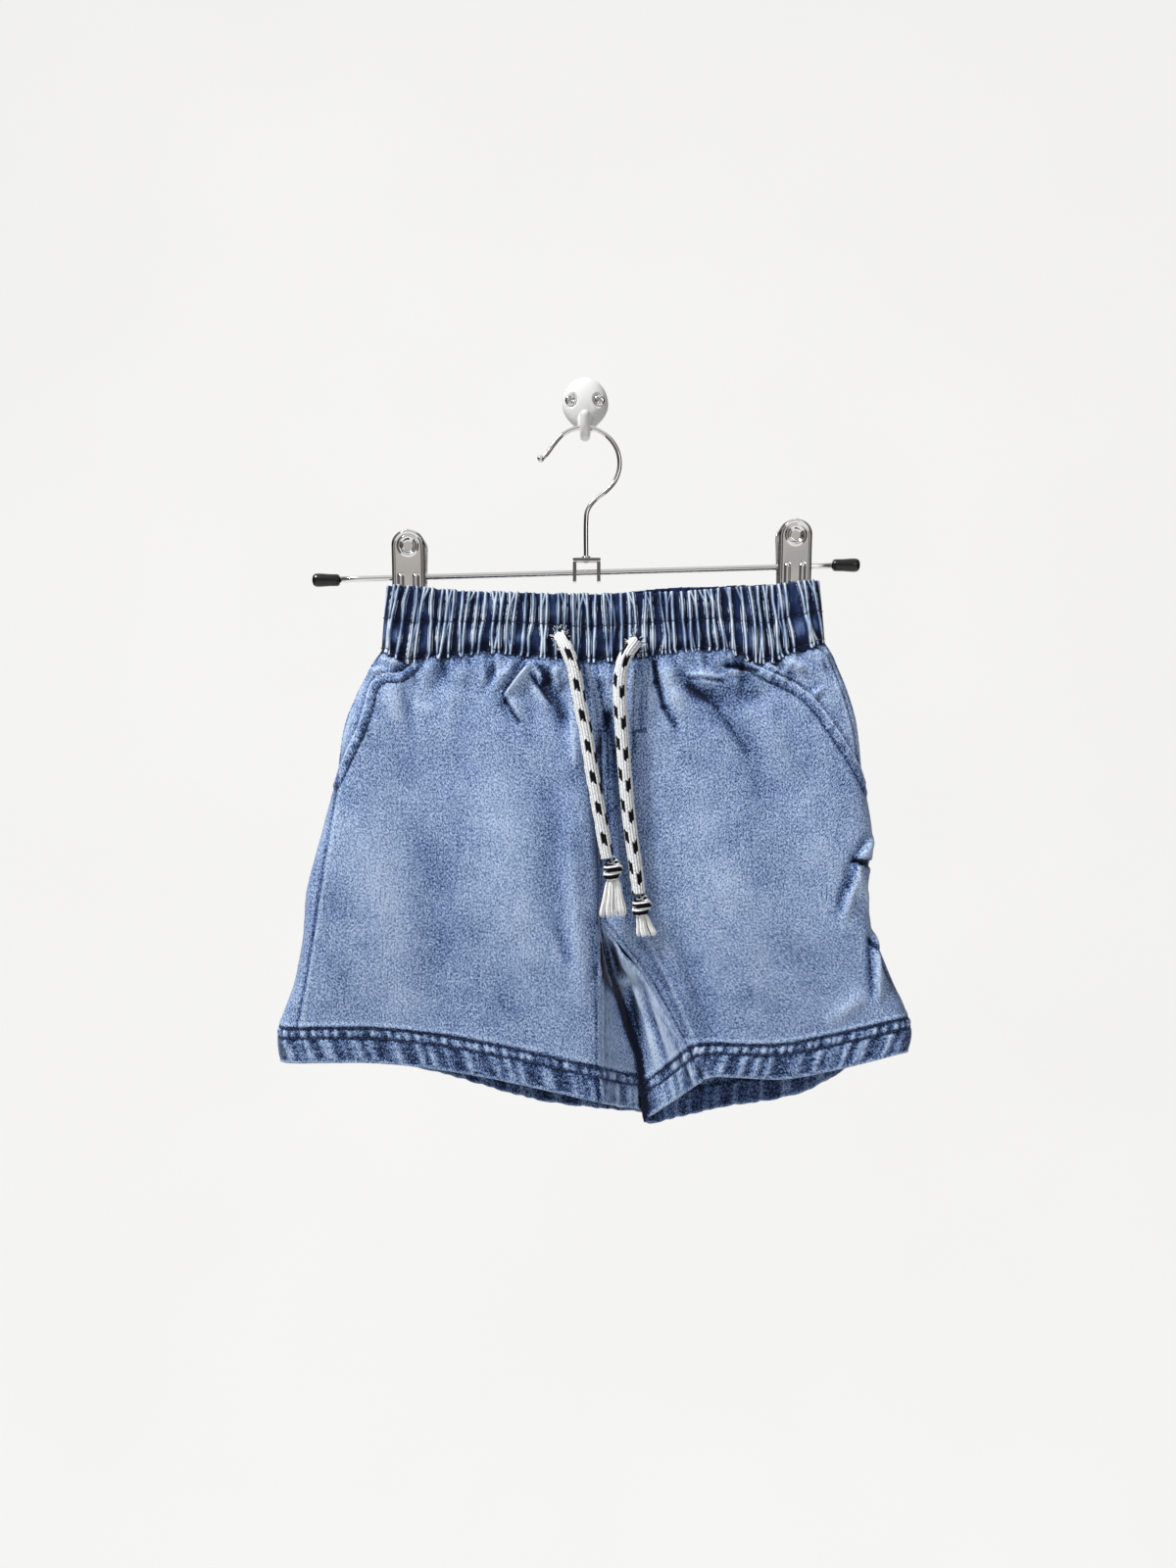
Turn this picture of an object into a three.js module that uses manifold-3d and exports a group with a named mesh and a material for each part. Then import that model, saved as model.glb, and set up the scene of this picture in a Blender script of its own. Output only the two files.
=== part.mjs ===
// Child's elasticated denim shorts, clipped by the back waistband to a clip hanger that hangs on
// a one-prong wall hook. Millimetres. +X is to the right as one faces the wall, +Y goes into the
// wall, +Z is up, and the origin is the middle of the wall plate's back face.
import * as THREE from 'three';
import { mergeVertices } from 'three/addons/utils/BufferGeometryUtils.js';
import Module from 'manifold-3d';

const wasm = await Module();
wasm.setup();

// ---------- driving dimensions ----------
const denim = 1.2; // thickness of one layer of cloth
const seamGap = 0.3; // clearance between sewn pieces
const sideY = -20; // depth of the side seams
const sideRound = 7; // how far the side folds are rounded, along X
const coreY = -21; // the middle of the legs, front to back
const hangY = -16; // depth of the hanger's bar and wire
const bandThick = 2.4; // elasticated waistband with its channels
const frontBandY = -30.5; // outer face of the front waistband
const backBandY = -13.8; // outer face of the back waistband
const pleatCount = 46; // gathers across each waistband
const bandEnds = { left: [-110.5, -113.4], right: [130.5, 133.4] }; // x at the band's top and bottom
const pleatDepth = 1.3; // from a gather's valley to its ridge, halved where a stitch row crosses
const clipPlaces = { left: -98.3, right: 117 };
const clipHalf = 9.3;
const crotchRow = 6; // the section that passes through the crotch point

// ---------- small helpers ----------
const V = (x, y, z) => new THREE.Vector3(x, y, z);
const mix = (a, b, t) => a + (b - a) * t;

/** Turns rows of values under named columns into a list of objects. */
function table(columns, rows) {
  const names = columns.split(' ');
  return rows.map((row) => Object.fromEntries(row.map((value, k) => [names[k], value])));
}

function paint(color, roughness, metalness = 0) {
  return new THREE.MeshStandardMaterial({ color, roughness, metalness });
}

const paints = {
  denim: paint(0x839bbd, 0.9),
  facing: paint(0x7a92b6, 0.9),
  hem: paint(0x6f86ac, 0.9),
  band: paint(0x55648a, 0.9),
  cord: paint(0xeeeeea, 0.85),
  chrome: paint(0xc9cbd0, 0.15, 1),
  rubber: paint(0x111111, 0.6),
  enamel: paint(0xf4f4f2, 0.25),
};

const group = new THREE.Group();

/** Adds a named sub-part to the model, or to a nested group. */
function part(name, geometry, material, parent = group) {
  const mesh = new THREE.Mesh(geometry, material.clone());
  mesh.name = name;
  parent.add(mesh);
  return mesh;
}

/** A closed solid for cutting and joining, from a geometry with shared vertices. */
function solid(geometry) {
  const bare = geometry.clone();
  for (const name of ['normal', 'uv']) {
    bare.deleteAttribute(name);
  }
  const merged = mergeVertices(bare, 1e-4);
  const vertProperties = new Float32Array(merged.attributes.position.array);
  const triVerts = new Uint32Array(merged.index.array);
  return new wasm.Manifold(new wasm.Mesh({ numProp: 3, vertProperties, triVerts }));
}

function fromSolid(body) {
  const mesh = body.getMesh();
  const geometry = new THREE.BufferGeometry();
  geometry.setAttribute('position', new THREE.BufferAttribute(new Float32Array(mesh.vertProperties), 3));
  geometry.setIndex(new THREE.BufferAttribute(new Uint32Array(mesh.triVerts), 1));
  geometry.computeVertexNormals();
  return geometry;
}

function boxBetween(low, high) {
  const size = high.clone().sub(low);
  const middle = low.clone().add(high).multiplyScalar(0.5);
  return new THREE.BoxGeometry(size.x, size.y, size.z).translate(middle.x, middle.y, middle.z);
}

/** A round bar along a route: points as [x, y, z]. */
function rope(points, radius, sides, steps) {
  const curve = new THREE.CatmullRomCurve3(points.map((p) => V(...p)), false, 'centripetal');
  const section = new THREE.Shape();
  for (let k = 0; k < sides; k += 1) {
    const turn = (2 * Math.PI * k) / sides;
    const method = k === 0 ? 'moveTo' : 'lineTo';
    section[method](radius * Math.cos(turn), radius * Math.sin(turn));
  }
  return new THREE.ExtrudeGeometry(section, { steps, bevelEnabled: false, extrudePath: curve });
}

/** The closed solid between two sheets, outer(u, v) and inner(u, v). The outward face follows
 *  du x dv where side is 1 and the other way where it is -1. */
function between(outer, inner, columns, rows, side) {
  const across = columns.length;
  const positions = [];
  for (const sheet of [outer, inner]) {
    for (const v of rows) {
      for (const u of columns) {
        positions.push(...sheet(u, v).toArray());
      }
    }
  }
  const layer = across * rows.length;
  const at = (i, j, k) => k * layer + j * across + i;
  const index = [];
  const quad = (a, b, c, d) => {
    if (side > 0) {
      index.push(a, b, c, a, c, d);
    } else {
      index.push(a, c, b, a, d, c);
    }
  };
  const lastI = across - 1;
  const lastJ = rows.length - 1;
  for (let j = 0; j < lastJ; j += 1) {
    for (let i = 0; i < lastI; i += 1) {
      quad(at(i, j, 0), at(i + 1, j, 0), at(i + 1, j + 1, 0), at(i, j + 1, 0));
      quad(at(i, j, 1), at(i, j + 1, 1), at(i + 1, j + 1, 1), at(i + 1, j, 1));
    }
    quad(at(0, j, 0), at(0, j + 1, 0), at(0, j + 1, 1), at(0, j, 1));
    quad(at(lastI, j, 0), at(lastI, j, 1), at(lastI, j + 1, 1), at(lastI, j + 1, 0));
  }
  for (let i = 0; i < lastI; i += 1) {
    quad(at(i, 0, 0), at(i, 0, 1), at(i + 1, 0, 1), at(i + 1, 0, 0));
    quad(at(i, lastJ, 0), at(i + 1, lastJ, 0), at(i + 1, lastJ, 1), at(i, lastJ, 1));
  }
  const geometry = new THREE.BufferGeometry();
  geometry.setAttribute('position', new THREE.Float32BufferAttribute(positions, 3));
  geometry.setIndex(index);
  geometry.computeVertexNormals();
  return geometry;
}

const evenly = (count, from = 0, to = 1) => (
  Array.from({ length: count + 1 }, (_, k) => mix(from, to, k / count)));

// ---------- the cut of the shorts ----------
// A leg is lofted through ten sections, from the waist to the hem. The seam columns run down the
// centre seams to the crotch section and down the inseam below it. On the back they dip under
// the crotch first. The turn is where the back panel leaves the back and crosses to the inseam.
const frontColumns = 'sideX sideZ planeY foldX foldY foldZ seamX seamY seamZ liftOut liftIn';
const backColumns = 'sideX sideZ planeY turnX turnY turnZ seamX seamY seamZ liftOut liftIn bowX bowZ';

const cut = {
  left: {
    front: table(frontColumns, [
      [-113.3, -139, -29.7, -6, -29.7, -140, 2.5, -29.4, -140, 0, 0],
      [-125, -159.3, -32.5, -4, -32.5, -163, 5, -31, -164, 0, 0],
      [-134, -181, -35, -2, -34.8, -183, 8, -30.5, -184, 0, 0],
      [-139, -214, -36.5, 1.5, -36.5, -214, 9, -29.5, -214, 0, 0],
      [-147.5, -247, -38, 3.5, -37.5, -245, 9, -29.5, -245, 0, 0],
      [-154.5, -275, -38.5, 4.2, -37.5, -270, 8.7, -30.5, -270, 0, 0],
      [-155.7, -296, -38.5, 4.6, -37.5, -290, 8.1, -32, -290, 0, 0],
      [-161.5, -325, -38, 5, -38, -322, 8.8, -35.5, -322, 0, 0],
      [-170, -350, -37.5, 4.5, -38, -358, 9, -35.5, -360, 3, 3],
      [-169, -366, -37, 6, -38, -387, 10.5, -35.8, -388.5, 6, 6],
    ]),
    back: table(backColumns, [
      [-113.3, -139, -13.2, -20, -13.2, -138, 2.5, -13.2, -138, 0, 0, 0, 0],
      [-125, -159.3, -10.5, -18, -10.5, -161, 4, -10.5, -161, 0, 0, 0, 0],
      [-134, -181, -9, -14, -9, -182, 6, -9, -182, 0, 0, 0, 0],
      [-139, -214, -8.5, -10, -8.5, -215, 8, -8.5, -215, 0, 0, 0, 0],
      [-147.5, -247, -8, -2, -8, -251, 11, -8, -252, 0, 0, 0, 0],
      [-154.5, -275, -8, 4, -8.5, -292, 14.5, -13, -314, 0, 0, 0, 0],
      [-155.7, -296, -8, 18.5, -9.5, -326, 8.1, -32, -290, 0, 0, -2, -10],
      [-161.5, -325, -8, 24, -9, -342, 8.8, -35.5, -322, 0, 0, 0, 0],
      [-170, -350, -8, 31, -9, -374, 9, -35.5, -360, 2, -2, 0, 0],
      [-169, -366, -8.5, 35, -9.5, -399, 10.5, -35.8, -388.5, 3, -4, 0, 0],
    ]),
  },
  right: {
    front: table(frontColumns, [
      [133.3, -133, -29.7, 16, -29.7, -140, 2.5, -29.4, -140, 0, 0],
      [144.5, -157.5, -32.5, 18, -32, -163, 5, -31, -164, 0, 0],
      [151, -178.5, -35, 20, -33.5, -183, 8, -30.5, -184, 0, 0],
      [155, -214, -36.5, 22, -34.5, -214, 9, -29.5, -214, 0, 0],
      [159.5, -247, -37.5, 24, -35.5, -245, 9, -29.5, -245, 0, 0],
      [156.5, -276, -38, 26, -36.5, -270, 8.7, -30.5, -270, 0, 0],
      [158.5, -293, -38, 31, -37.5, -291, 8.1, -32, -290, 0, 0],
      [169, -318, -38, 45, -38, -320, 32, -31, -319, 0, 0],
      [180.3, -348, -37.5, 59, -38, -355, 52, -33, -355, -2, -2],
      [179, -361, -37, 67, -37.5, -374, 62, -34.5, -378, -4, -6],
    ]),
    back: table(backColumns, [
      [133.3, -133, -13.2, 24, -13.2, -138, 2.5, -13.2, -138, 0, 0, 0, 0],
      [144.5, -157.5, -10.5, 26, -10.5, -161, 4, -10.5, -161, 0, 0, 0, 0],
      [151, -178.5, -9, 27, -9, -182, 6, -9, -182, 0, 0, 0, 0],
      [155, -214, -8.5, 27, -8.5, -215, 8, -8.5, -215, 0, 0, 0, 0],
      [159.5, -247, -8, 27, -8, -251, 11, -8, -252, 0, 0, 0, 0],
      [156.5, -276, -8, 26, -8.5, -292, 14.5, -13, -314, 0, 0, 0, 0],
      [158.5, -293, -8, 21.5, -13, -324, 8.1, -32, -290, 0, 0, 4.5, -8],
      [169, -318, -8, 21.5, -15, -337, 32, -31, -319, 0, 0, 0, 0],
      [180.3, -348, -8, 27.5, -15, -366, 52, -33, -355, -6, -3, 0, 0],
      [179, -361, -8.5, 33, -15, -404, 62, -34.5, -378, -12, -6, 0, 0],
    ]),
  },
};

/** The rounded side fold: four points from beyond the side seam to the panel's own depth. */
function sidePoints(row, beyondY) {
  const inward = Math.sign(-row.sideX);
  const corner = Math.SQRT1_2;
  const shallow = (1 - corner) * sideRound * inward;
  return [
    V(row.sideX + shallow, mix(sideY, beyondY, corner), row.sideZ),
    V(row.sideX, sideY, row.sideZ),
    V(row.sideX + shallow, mix(sideY, row.planeY, corner), row.sideZ),
    V(row.sideX + sideRound * inward, row.planeY, row.sideZ),
  ];
}

/** The points of the front panel in one section, with the neighbour's point past each seam. */
function frontSection(leg, index) {
  const row = leg.front[index];
  const back = leg.back[index];
  const points = sidePoints(row, back.planeY);
  const start = points[3];
  for (const [t, lift] of [[0.3, row.liftOut], [0.6, row.liftIn]]) {
    points.push(V(mix(start.x, row.foldX, t), row.planeY, mix(row.sideZ, row.foldZ, t) + lift));
  }
  const seam = V(row.seamX, row.seamY, row.seamZ);
  const fold = V(row.foldX, row.foldY, row.foldZ);
  const beyond = index < crotchRow
    ? V(2 * row.seamX - row.foldX, row.foldY, row.seamZ)
    : wallPoint(back, seam);
  return [...points, fold, seam, beyond];
}

/** The middle of the inner-leg wall, which sags just under the crotch. */
function wallPoint(row, seam) {
  const middle = V(row.turnX, row.turnY, row.turnZ).lerp(seam, 0.55);
  return middle.add(V(row.bowX, 0, row.bowZ));
}

function backSection(leg, index) {
  const row = leg.back[index];
  const front = leg.front[index];
  const points = sidePoints(row, front.planeY);
  const start = points[3];
  for (const [t, lift] of [[0.35, row.liftOut], [0.7, row.liftIn]]) {
    points.push(V(mix(start.x, row.turnX, t), row.planeY, mix(row.sideZ, row.turnZ, t) + lift));
  }
  const seam = V(row.seamX, row.seamY, row.seamZ);
  const beyond = index < crotchRow
    ? V(2 * row.seamX - row.turnX, row.turnY, row.seamZ)
    : V(front.foldX, front.foldY, front.foldZ);
  return [...points, V(row.turnX, row.turnY, row.turnZ), wallPoint(row, seam), seam, beyond];
}

const smooth = (points) => new THREE.CatmullRomCurve3(points, false, 'centripetal');

/** A sheet through a panel's sections: u runs from the side seam to the inner seam, v down. */
function loft(sections) {
  const points = sections[0].length;
  const above = [];
  const below = [];
  for (let k = 0; k < points; k += 1) {
    above.push(smooth(sections.slice(0, crotchRow + 1).map((section) => section[k])));
    below.push(smooth(sections.slice(crotchRow).map((section) => section[k])));
  }
  const split = crotchRow / (sections.length - 1);
  return (u, v) => {
    const down = v <= split
      ? above.map((line) => line.getPoint(v / split))
      : below.map((line) => line.getPoint((v - split) / (1 - split)));
    return smooth(down).getPoint((1 + u * (points - 3)) / (points - 1));
  };
}

/** Folds pressed into the front panels: where each lies, which way it runs, how far it reaches. */
const folds = table('x z turn reach width height', [
  [-48, -152, 75, 12, 4, 1.6],
  [-38, -156, -60, 13, 4, -1.8],
  [-24, -152, 80, 12, 5, 1.4],
  [-12, -154, -75, 12, 4, -1.4],
  [42, -160, -80, 18, 5, -1.3],
  [58, -156, 85, 12, 5, 1.3],
  [80, -154, 70, 10, 5, 1.2],
  [108, -158, 35, 14, 4, 1.6],
  [140, -258, 15, 18, 6, 1.8],
  [138, -268, 25, 20, 5, -1.6],
  [150, -320, 70, 26, 7, 1.6],
  [90, -185, -40, 45, 16, 1.4],
  [-90, -230, 70, 60, 22, 1.4],
]);

function foldLift(x, z) {
  let lift = 0;
  for (const fold of folds) {
    const turn = THREE.MathUtils.degToRad(fold.turn);
    const along = (x - fold.x) * Math.cos(turn) + (z - fold.z) * Math.sin(turn);
    const aside = (z - fold.z) * Math.cos(turn) - (x - fold.x) * Math.sin(turn);
    lift += fold.height * Math.exp(-((along / fold.reach) ** 2) - (aside / fold.width) ** 2);
  }
  return lift;
}

/** The level direction into a leg: towards a core that runs across it, between the folds. */
function inwardOf(leg) {
  const reach = 11;
  const inner = leg.front.map((row, k) => {
    const end = k < crotchRow - 1 ? row.seamX : row.foldX + reach * Math.sign(row.sideX);
    return V(end, coreY, 0);
  });
  const side = leg.front.map((row) => V(row.sideX - reach * Math.sign(row.sideX), coreY, 0));
  return (point, v) => {
    const row = v * (inner.length - 1);
    const k = Math.min(Math.floor(row), inner.length - 2);
    const ends = [inner, side].map((core) => mix(core[k].x, core[k + 1].x, row - k));
    const x = THREE.MathUtils.clamp(point.x, Math.min(...ends), Math.max(...ends));
    return V(x - point.x, coreY - point.y, 0).normalize();
  };
}

/** A wall of cloth on a sheet: moved out from the leg's core by raise, then made thick inwards. */
function clothWall(sheet, inward, side, columns, rows, raise, lift = () => 0) {
  const reach = 1e-3;
  const outer = (u, v) => {
    const here = sheet(u, v);
    const du = sheet(Math.min(u + reach, 1), v).sub(sheet(Math.max(u - reach, 0), v)).normalize();
    const trim = { 0: 1, 1: -1 }[u] ?? 0;
    const fade = Math.sin(Math.PI * u) ** 0.5;
    const up = raise + lift(here.x, here.z) * fade;
    return here.addScaledVector(inward(here, v), -up).addScaledVector(du, trim * seamGap / 2);
  };
  const inner = (u, v) => {
    const here = outer(u, v);
    return here.addScaledVector(inward(here, v), denim);
  };
  return between(outer, inner, columns, rows, side);
}

// ---------- waistband ----------
const bandLine = {
  frontTop: [[-110, -104.6], [-52, -108.4], [2, -109.5], [50, -108.4], [88, -105.7], [130, -101.9]],
  frontBottom: [[-113, -141], [-96, -148], [-83, -145], [-52, -142.3], [2, -147.2], [56, -141.7],
    [72, -140.5], [99, -148], [118, -141], [133, -136]],
  backTop: [[-110, -104], [-52, -106.5], [2, -107.5], [60, -103.4], [130, -101.4]],
  backBottom: [[-113, -141], [-52, -141.6], [2, -141.7], [72, -140], [133, -136]],
};

/** The height of a band edge at x, with smooth steps between its points. */
function edgeHeight(line, x) {
  const last = line.length - 1;
  if (x <= line[0][0]) {
    return line[0][1];
  }
  for (let k = 0; k < last; k += 1) {
    const [x0, z0] = line[k];
    const [x1, z1] = line[k + 1];
    if (x <= x1) {
      const t = (x - x0) / (x1 - x0);
      return mix(z0, z1, t * t * (3 - 2 * t));
    }
  }
  return line[last][1];
}

/** A gathered band: each pleat is a ridge and a valley, flattened where the stitch rows cross and,
 *  on the back, where a clip grips it. */
function bandWall(faceY, towards, top, bottom, middleY, endRound) {
  const columns = evenly(2 * pleatCount);
  const rows = [0, 0.24, 0.47, 0.72, 1];
  const puff = [0.6, 1, 0.55, 1, 0.5];
  const place = (u, v) => {
    const left = mix(...bandEnds.left, v);
    const right = mix(...bandEnds.right, v);
    const x = mix(left, right, u);
    const fromEnd = Math.min(u, 1 - u) * (right - left);
    const bend = Math.sqrt(Math.max(0, 1 - (1 - Math.min(fromEnd / endRound, 1)) ** 2));
    const z = mix(edgeHeight(top, x), edgeHeight(bottom, x), v);
    return { x, z, bend };
  };
  const wave = (u, v) => {
    const index = Math.round(u * 2 * pleatCount);
    const uneven = 1 + 0.3 * Math.sin(index * 2.3) + 0.2 * Math.sin(index * 0.7 + 1);
    const { x } = place(u, v);
    const clipped = Object.values(clipPlaces).some((middle) => Math.abs(x - middle) < clipHalf + 3);
    const press = towards < 0 && clipped ? 0.3 : 1;
    return (index % 2 ? 0.5 : -0.5) * pleatDepth * puff[rows.indexOf(v)] * uneven * press;
  };
  const outer = (u, v) => {
    const { x, z, bend } = place(u, v);
    return V(x, mix(middleY, faceY, bend) + wave(u, v) * bend, z);
  };
  const inner = (u, v) => {
    const { x, z, bend } = place(u, v);
    const shift = (1 - bend) * bandThick * (u < 0.5 ? 1 : -1);
    return V(x + shift, mix(middleY, faceY + towards * bandThick, bend), z);
  };
  return between(outer, inner, columns, rows, towards > 0 ? -1 : 1);
}

const middleY = -21;
part(
  'waistband_front',
  bandWall(frontBandY, 1, bandLine.frontTop, bandLine.frontBottom, middleY - seamGap / 2, 6),
  paints.band,
);
part(
  'waistband_back',
  bandWall(backBandY, -1, bandLine.backTop, bandLine.backBottom, middleY + seamGap / 2, 1.5),
  paints.band,
);

// ---------- panels, pockets and hems ----------
const panelRows = [0, 0.06, 0.12, 0.2, 0.29, 0.38, 0.47, 0.56, crotchRow / 9, 0.72, 0.79, 0.87, 0.94, 1];
const hemStart = 0.93;

/** The outline of a pocket mouth, from the waistband round to the side seam. */
const pocketMouth = {
  left: [[-94, -146], [-101, -152.4], [-111, -153.6], [-117.6, -158.6], [-120, -168], [-124, -182],
    [-130, -195], [-138, -212]],
  right: [[88, -146], [100, -151.8], [110, -156.5], [118.5, -161.5], [126, -168], [135.5, -181],
    [146, -197], [158, -217]],
};

/** A block through the cloth that covers everything outside a pocket mouth. */
function pocketBlock(side, inside) {
  const outward = side === 'left' ? -1 : 1;
  const mouth = pocketMouth[side].map(([x, z]) => [x - outward * inside, z - inside * 0.6]);
  const above = -100;
  const past = outward * 200;
  const outline = new THREE.Shape();
  outline.moveTo(mouth[0][0], above);
  for (const [x, z] of mouth) {
    outline.lineTo(x, z);
  }
  const [, lowest] = mouth[mouth.length - 1];
  outline.lineTo(past, lowest - 8);
  outline.lineTo(past, above);
  outline.closePath();
  const block = new THREE.ExtrudeGeometry(outline, { depth: 60, bevelEnabled: false });
  return block.rotateX(Math.PI / 2).translate(0, sideY + seamGap, 0);
}

/** A block that trims the panels a seam's gap below the waistband's lower edge. */
function bandBlock(line, nearY, farY) {
  const [, left] = bandEnds.left;
  const [, right] = bandEnds.right;
  const past = 37;
  const above = -90;
  const outline = new THREE.Shape();
  outline.moveTo(left - past, above);
  for (const x of evenly(2 * pleatCount, left, right)) {
    outline.lineTo(x === left ? left - past : x, edgeHeight(line, x) - seamGap);
  }
  outline.lineTo(right + past, edgeHeight(line, right) - seamGap);
  outline.lineTo(right + past, above);
  outline.closePath();
  const block = new THREE.ExtrudeGeometry(outline, { depth: farY - nearY, bevelEnabled: false });
  return solid(block.rotateX(Math.PI / 2).translate(0, farY, 0));
}

const frontTrim = bandBlock(bandLine.frontBottom, -60, sideY + 2);
const backTrim = bandBlock(bandLine.backBottom, sideY - 2, 5);

for (const side of ['left', 'right']) {
  const leg = cut[side];
  const outward = side === 'left' ? -1 : 1;
  const frontSheet = loft(leg.front.map((_, k) => frontSection(leg, k)));
  const backSheet = loft(leg.back.map((_, k) => backSection(leg, k)));
  const inward = inwardOf(leg);
  const frontU = [0, 0.09, 0.17, 0.28, 0.4, 0.5, 0.6, 0.7, 0.8, 0.9, 1];
  const backU = [0, 0.08, 0.16, 0.25, 0.37, 0.5, 0.6, 0.68, 0.75, 0.83, 0.91, 1];
  const hemRows = [hemStart, 0.965, 0.998];
  const under = -denim - seamGap;

  const whole = solid(clothWall(frontSheet, inward, outward, frontU, panelRows, 0, foldLift));
  const mouthBlock = solid(pocketBlock(side, 0));
  part(`front_${side}`, fromSolid(whole.subtract(mouthBlock).subtract(frontTrim)), paints.denim);

  const lining = solid(clothWall(frontSheet, inward, outward, frontU, panelRows, under, foldLift));
  const facingBlock = solid(pocketBlock(side, 10));
  const facing = lining.intersect(facingBlock).subtract(frontTrim);
  part(`pocket_facing_${side}`, fromSolid(facing), paints.facing);

  const seat = solid(clothWall(backSheet, inward, -outward, backU, panelRows, 0));
  part(`back_${side}`, fromSolid(seat.subtract(backTrim)), paints.denim);
  const frontHem = clothWall(frontSheet, inward, outward, frontU, hemRows, under, foldLift);
  const backHem = clothWall(backSheet, inward, -outward, backU, hemRows, under);
  part(`hem_front_${side}`, frontHem, paints.hem);
  part(`hem_back_${side}`, backHem, paints.hem);
}

// ---------- drawstring ----------
const cordRadius = 3.5;
const drawstrings = {
  left: {
    route: [
      [-13.2, -32.4, -133.3], [-13, -35.6, -134.2], [-12, -38.4, -136.6], [-10.3, -40.2, -140],
      [-8.4, -41.2, -144.5], [-6.6, -41.8, -150], [-5.2, -42.2, -156], [-4, -42.4, -163],
      [-2.6, -42.6, -171], [-1, -42.8, -179], [0.6, -43, -187], [2, -43.2, -196],
      [3.4, -43.4, -205], [5, -43.5, -214], [6.6, -43.4, -223], [8.2, -43.3, -232],
      [9.8, -43.2, -241], [11.2, -43.1, -249], [12.2, -43, -254],
    ],
    knot: [15, -43.6, -260.4],
    tassel: { length: 22, width: 7.5, lean: 0.02 },
  },
  right: {
    route: [
      [27.1, -32.4, -137], [26.6, -35.6, -137.6], [25.2, -38.2, -139.6], [23, -40, -142.8],
      [21, -41, -147], [19.6, -41.4, -153], [18.8, -41.6, -161], [19, -41.8, -170],
      [19.6, -42, -180], [20.3, -42, -190], [21, -42, -200], [21.8, -42, -210],
      [22.6, -42, -220], [23.6, -42, -230], [24.8, -42, -240], [26.2, -42, -250],
      [27.4, -42, -259], [28.4, -42, -267], [29, -42, -273.2],
    ],
    knot: [30.6, -42.6, -279.8],
    tassel: { length: 12, width: 6, lean: 0.25 },
  },
};
const knotRadius = 6.1;

for (const [side, string] of Object.entries(drawstrings)) {
  const steps = 14;
  const knotFlat = 0.9;
  const knot = new THREE.SphereGeometry(knotRadius, 14, 10).scale(1, knotFlat, 1);
  const gather = 2.6;
  const { length, width, lean } = string.tassel;
  const profile = [[0, -length], [width, -length], [width * 0.8, -length * 0.6], [gather, 0], [0, 0]];
  const tassel = new THREE.LatheGeometry(profile.map(([r, h]) => new THREE.Vector2(r, h)), 14);
  const [x, y, z] = string.knot;
  tassel.rotateX(Math.PI / 2);
  part(`drawstring_${side}`, rope(string.route, cordRadius, 10, steps), paints.cord);
  part(`knot_${side}`, knot, paints.cord).position.set(x, y, z);
  const strands = part(`tassel_${side}`, tassel, paints.cord);
  strands.position.set(x, y, z - knotRadius - seamGap);
  strands.rotation.set(0, -lean, 0);
  strands.scale.set(1, 0.55, 1);
}

// ---------- hanger ----------
const barRadius = 1.7;
const barTilt = 0.0278; // the bar's right end hangs higher
const barMiddle = V(0.6, hangY, -95.4);
const barHalf = 151;
const capLength = 14;

const rail = new THREE.Group();
rail.position.copy(barMiddle);
rail.rotation.y = -barTilt;
group.add(rail);
part(
  'hanger_bar',
  new THREE.CylinderGeometry(barRadius, barRadius, 2 * barHalf, 20).rotateZ(Math.PI / 2),
  paints.chrome,
  rail,
);
for (const [side, outward] of [['left', -1], ['right', 1]]) {
  const bore = barRadius + seamGap;
  const skin = 3.6;
  const depth = capLength - 2;
  const round = [[0, 2], [skin * 0.72, 1.5], [skin, 0], [skin, -depth], [bore, -depth], [bore, 0], [0, 0]];
  const cap = new THREE.LatheGeometry(round.map(([r, h]) => new THREE.Vector2(r, h)).reverse(), 20);
  cap.rotateZ(-outward * Math.PI / 2).translate(outward * (barHalf + seamGap), 0, 0);
  part(`hanger_cap_${side}`, cap, paints.rubber, rail);
}

// The hook is an arc from near its ball tip over the top and round, then a bend to the stem.
const wireRadius = 1.35;
const hookCentre = V(-0.6, hangY, -34);
const hookRadius = 20;
const hookRoute = [[-26.2, hangY, -32.4], [-22.2, hangY, -29.6]];
for (let degrees = 148; degrees >= -52; degrees -= 20) {
  const turn = THREE.MathUtils.degToRad(degrees);
  hookRoute.push([
    hookCentre.x + hookRadius * Math.cos(turn),
    hangY,
    hookCentre.z + hookRadius * Math.sin(turn),
  ]);
}
const bracketTop = -87.5;
hookRoute.push([4.2, hangY, -56], [1.2, hangY, -61], [0.6, hangY, -66], [0.6, hangY, bracketTop - 2.6]);
const rivetHead = new THREE.CylinderGeometry(2, 2, 1.2, 16)
  .rotateX(Math.PI / 2)
  .translate(0.6, hangY, bracketTop - 2.1);
const ball = new THREE.SphereGeometry(2.1, 14, 10).translate(-26.4, hangY, -32.6);
const wire = solid(rope(hookRoute, wireRadius, 12, 60));
part('hanger_hook', fromSolid(wire.add(solid(ball)).add(solid(rivetHead))), paints.chrome);

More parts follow.
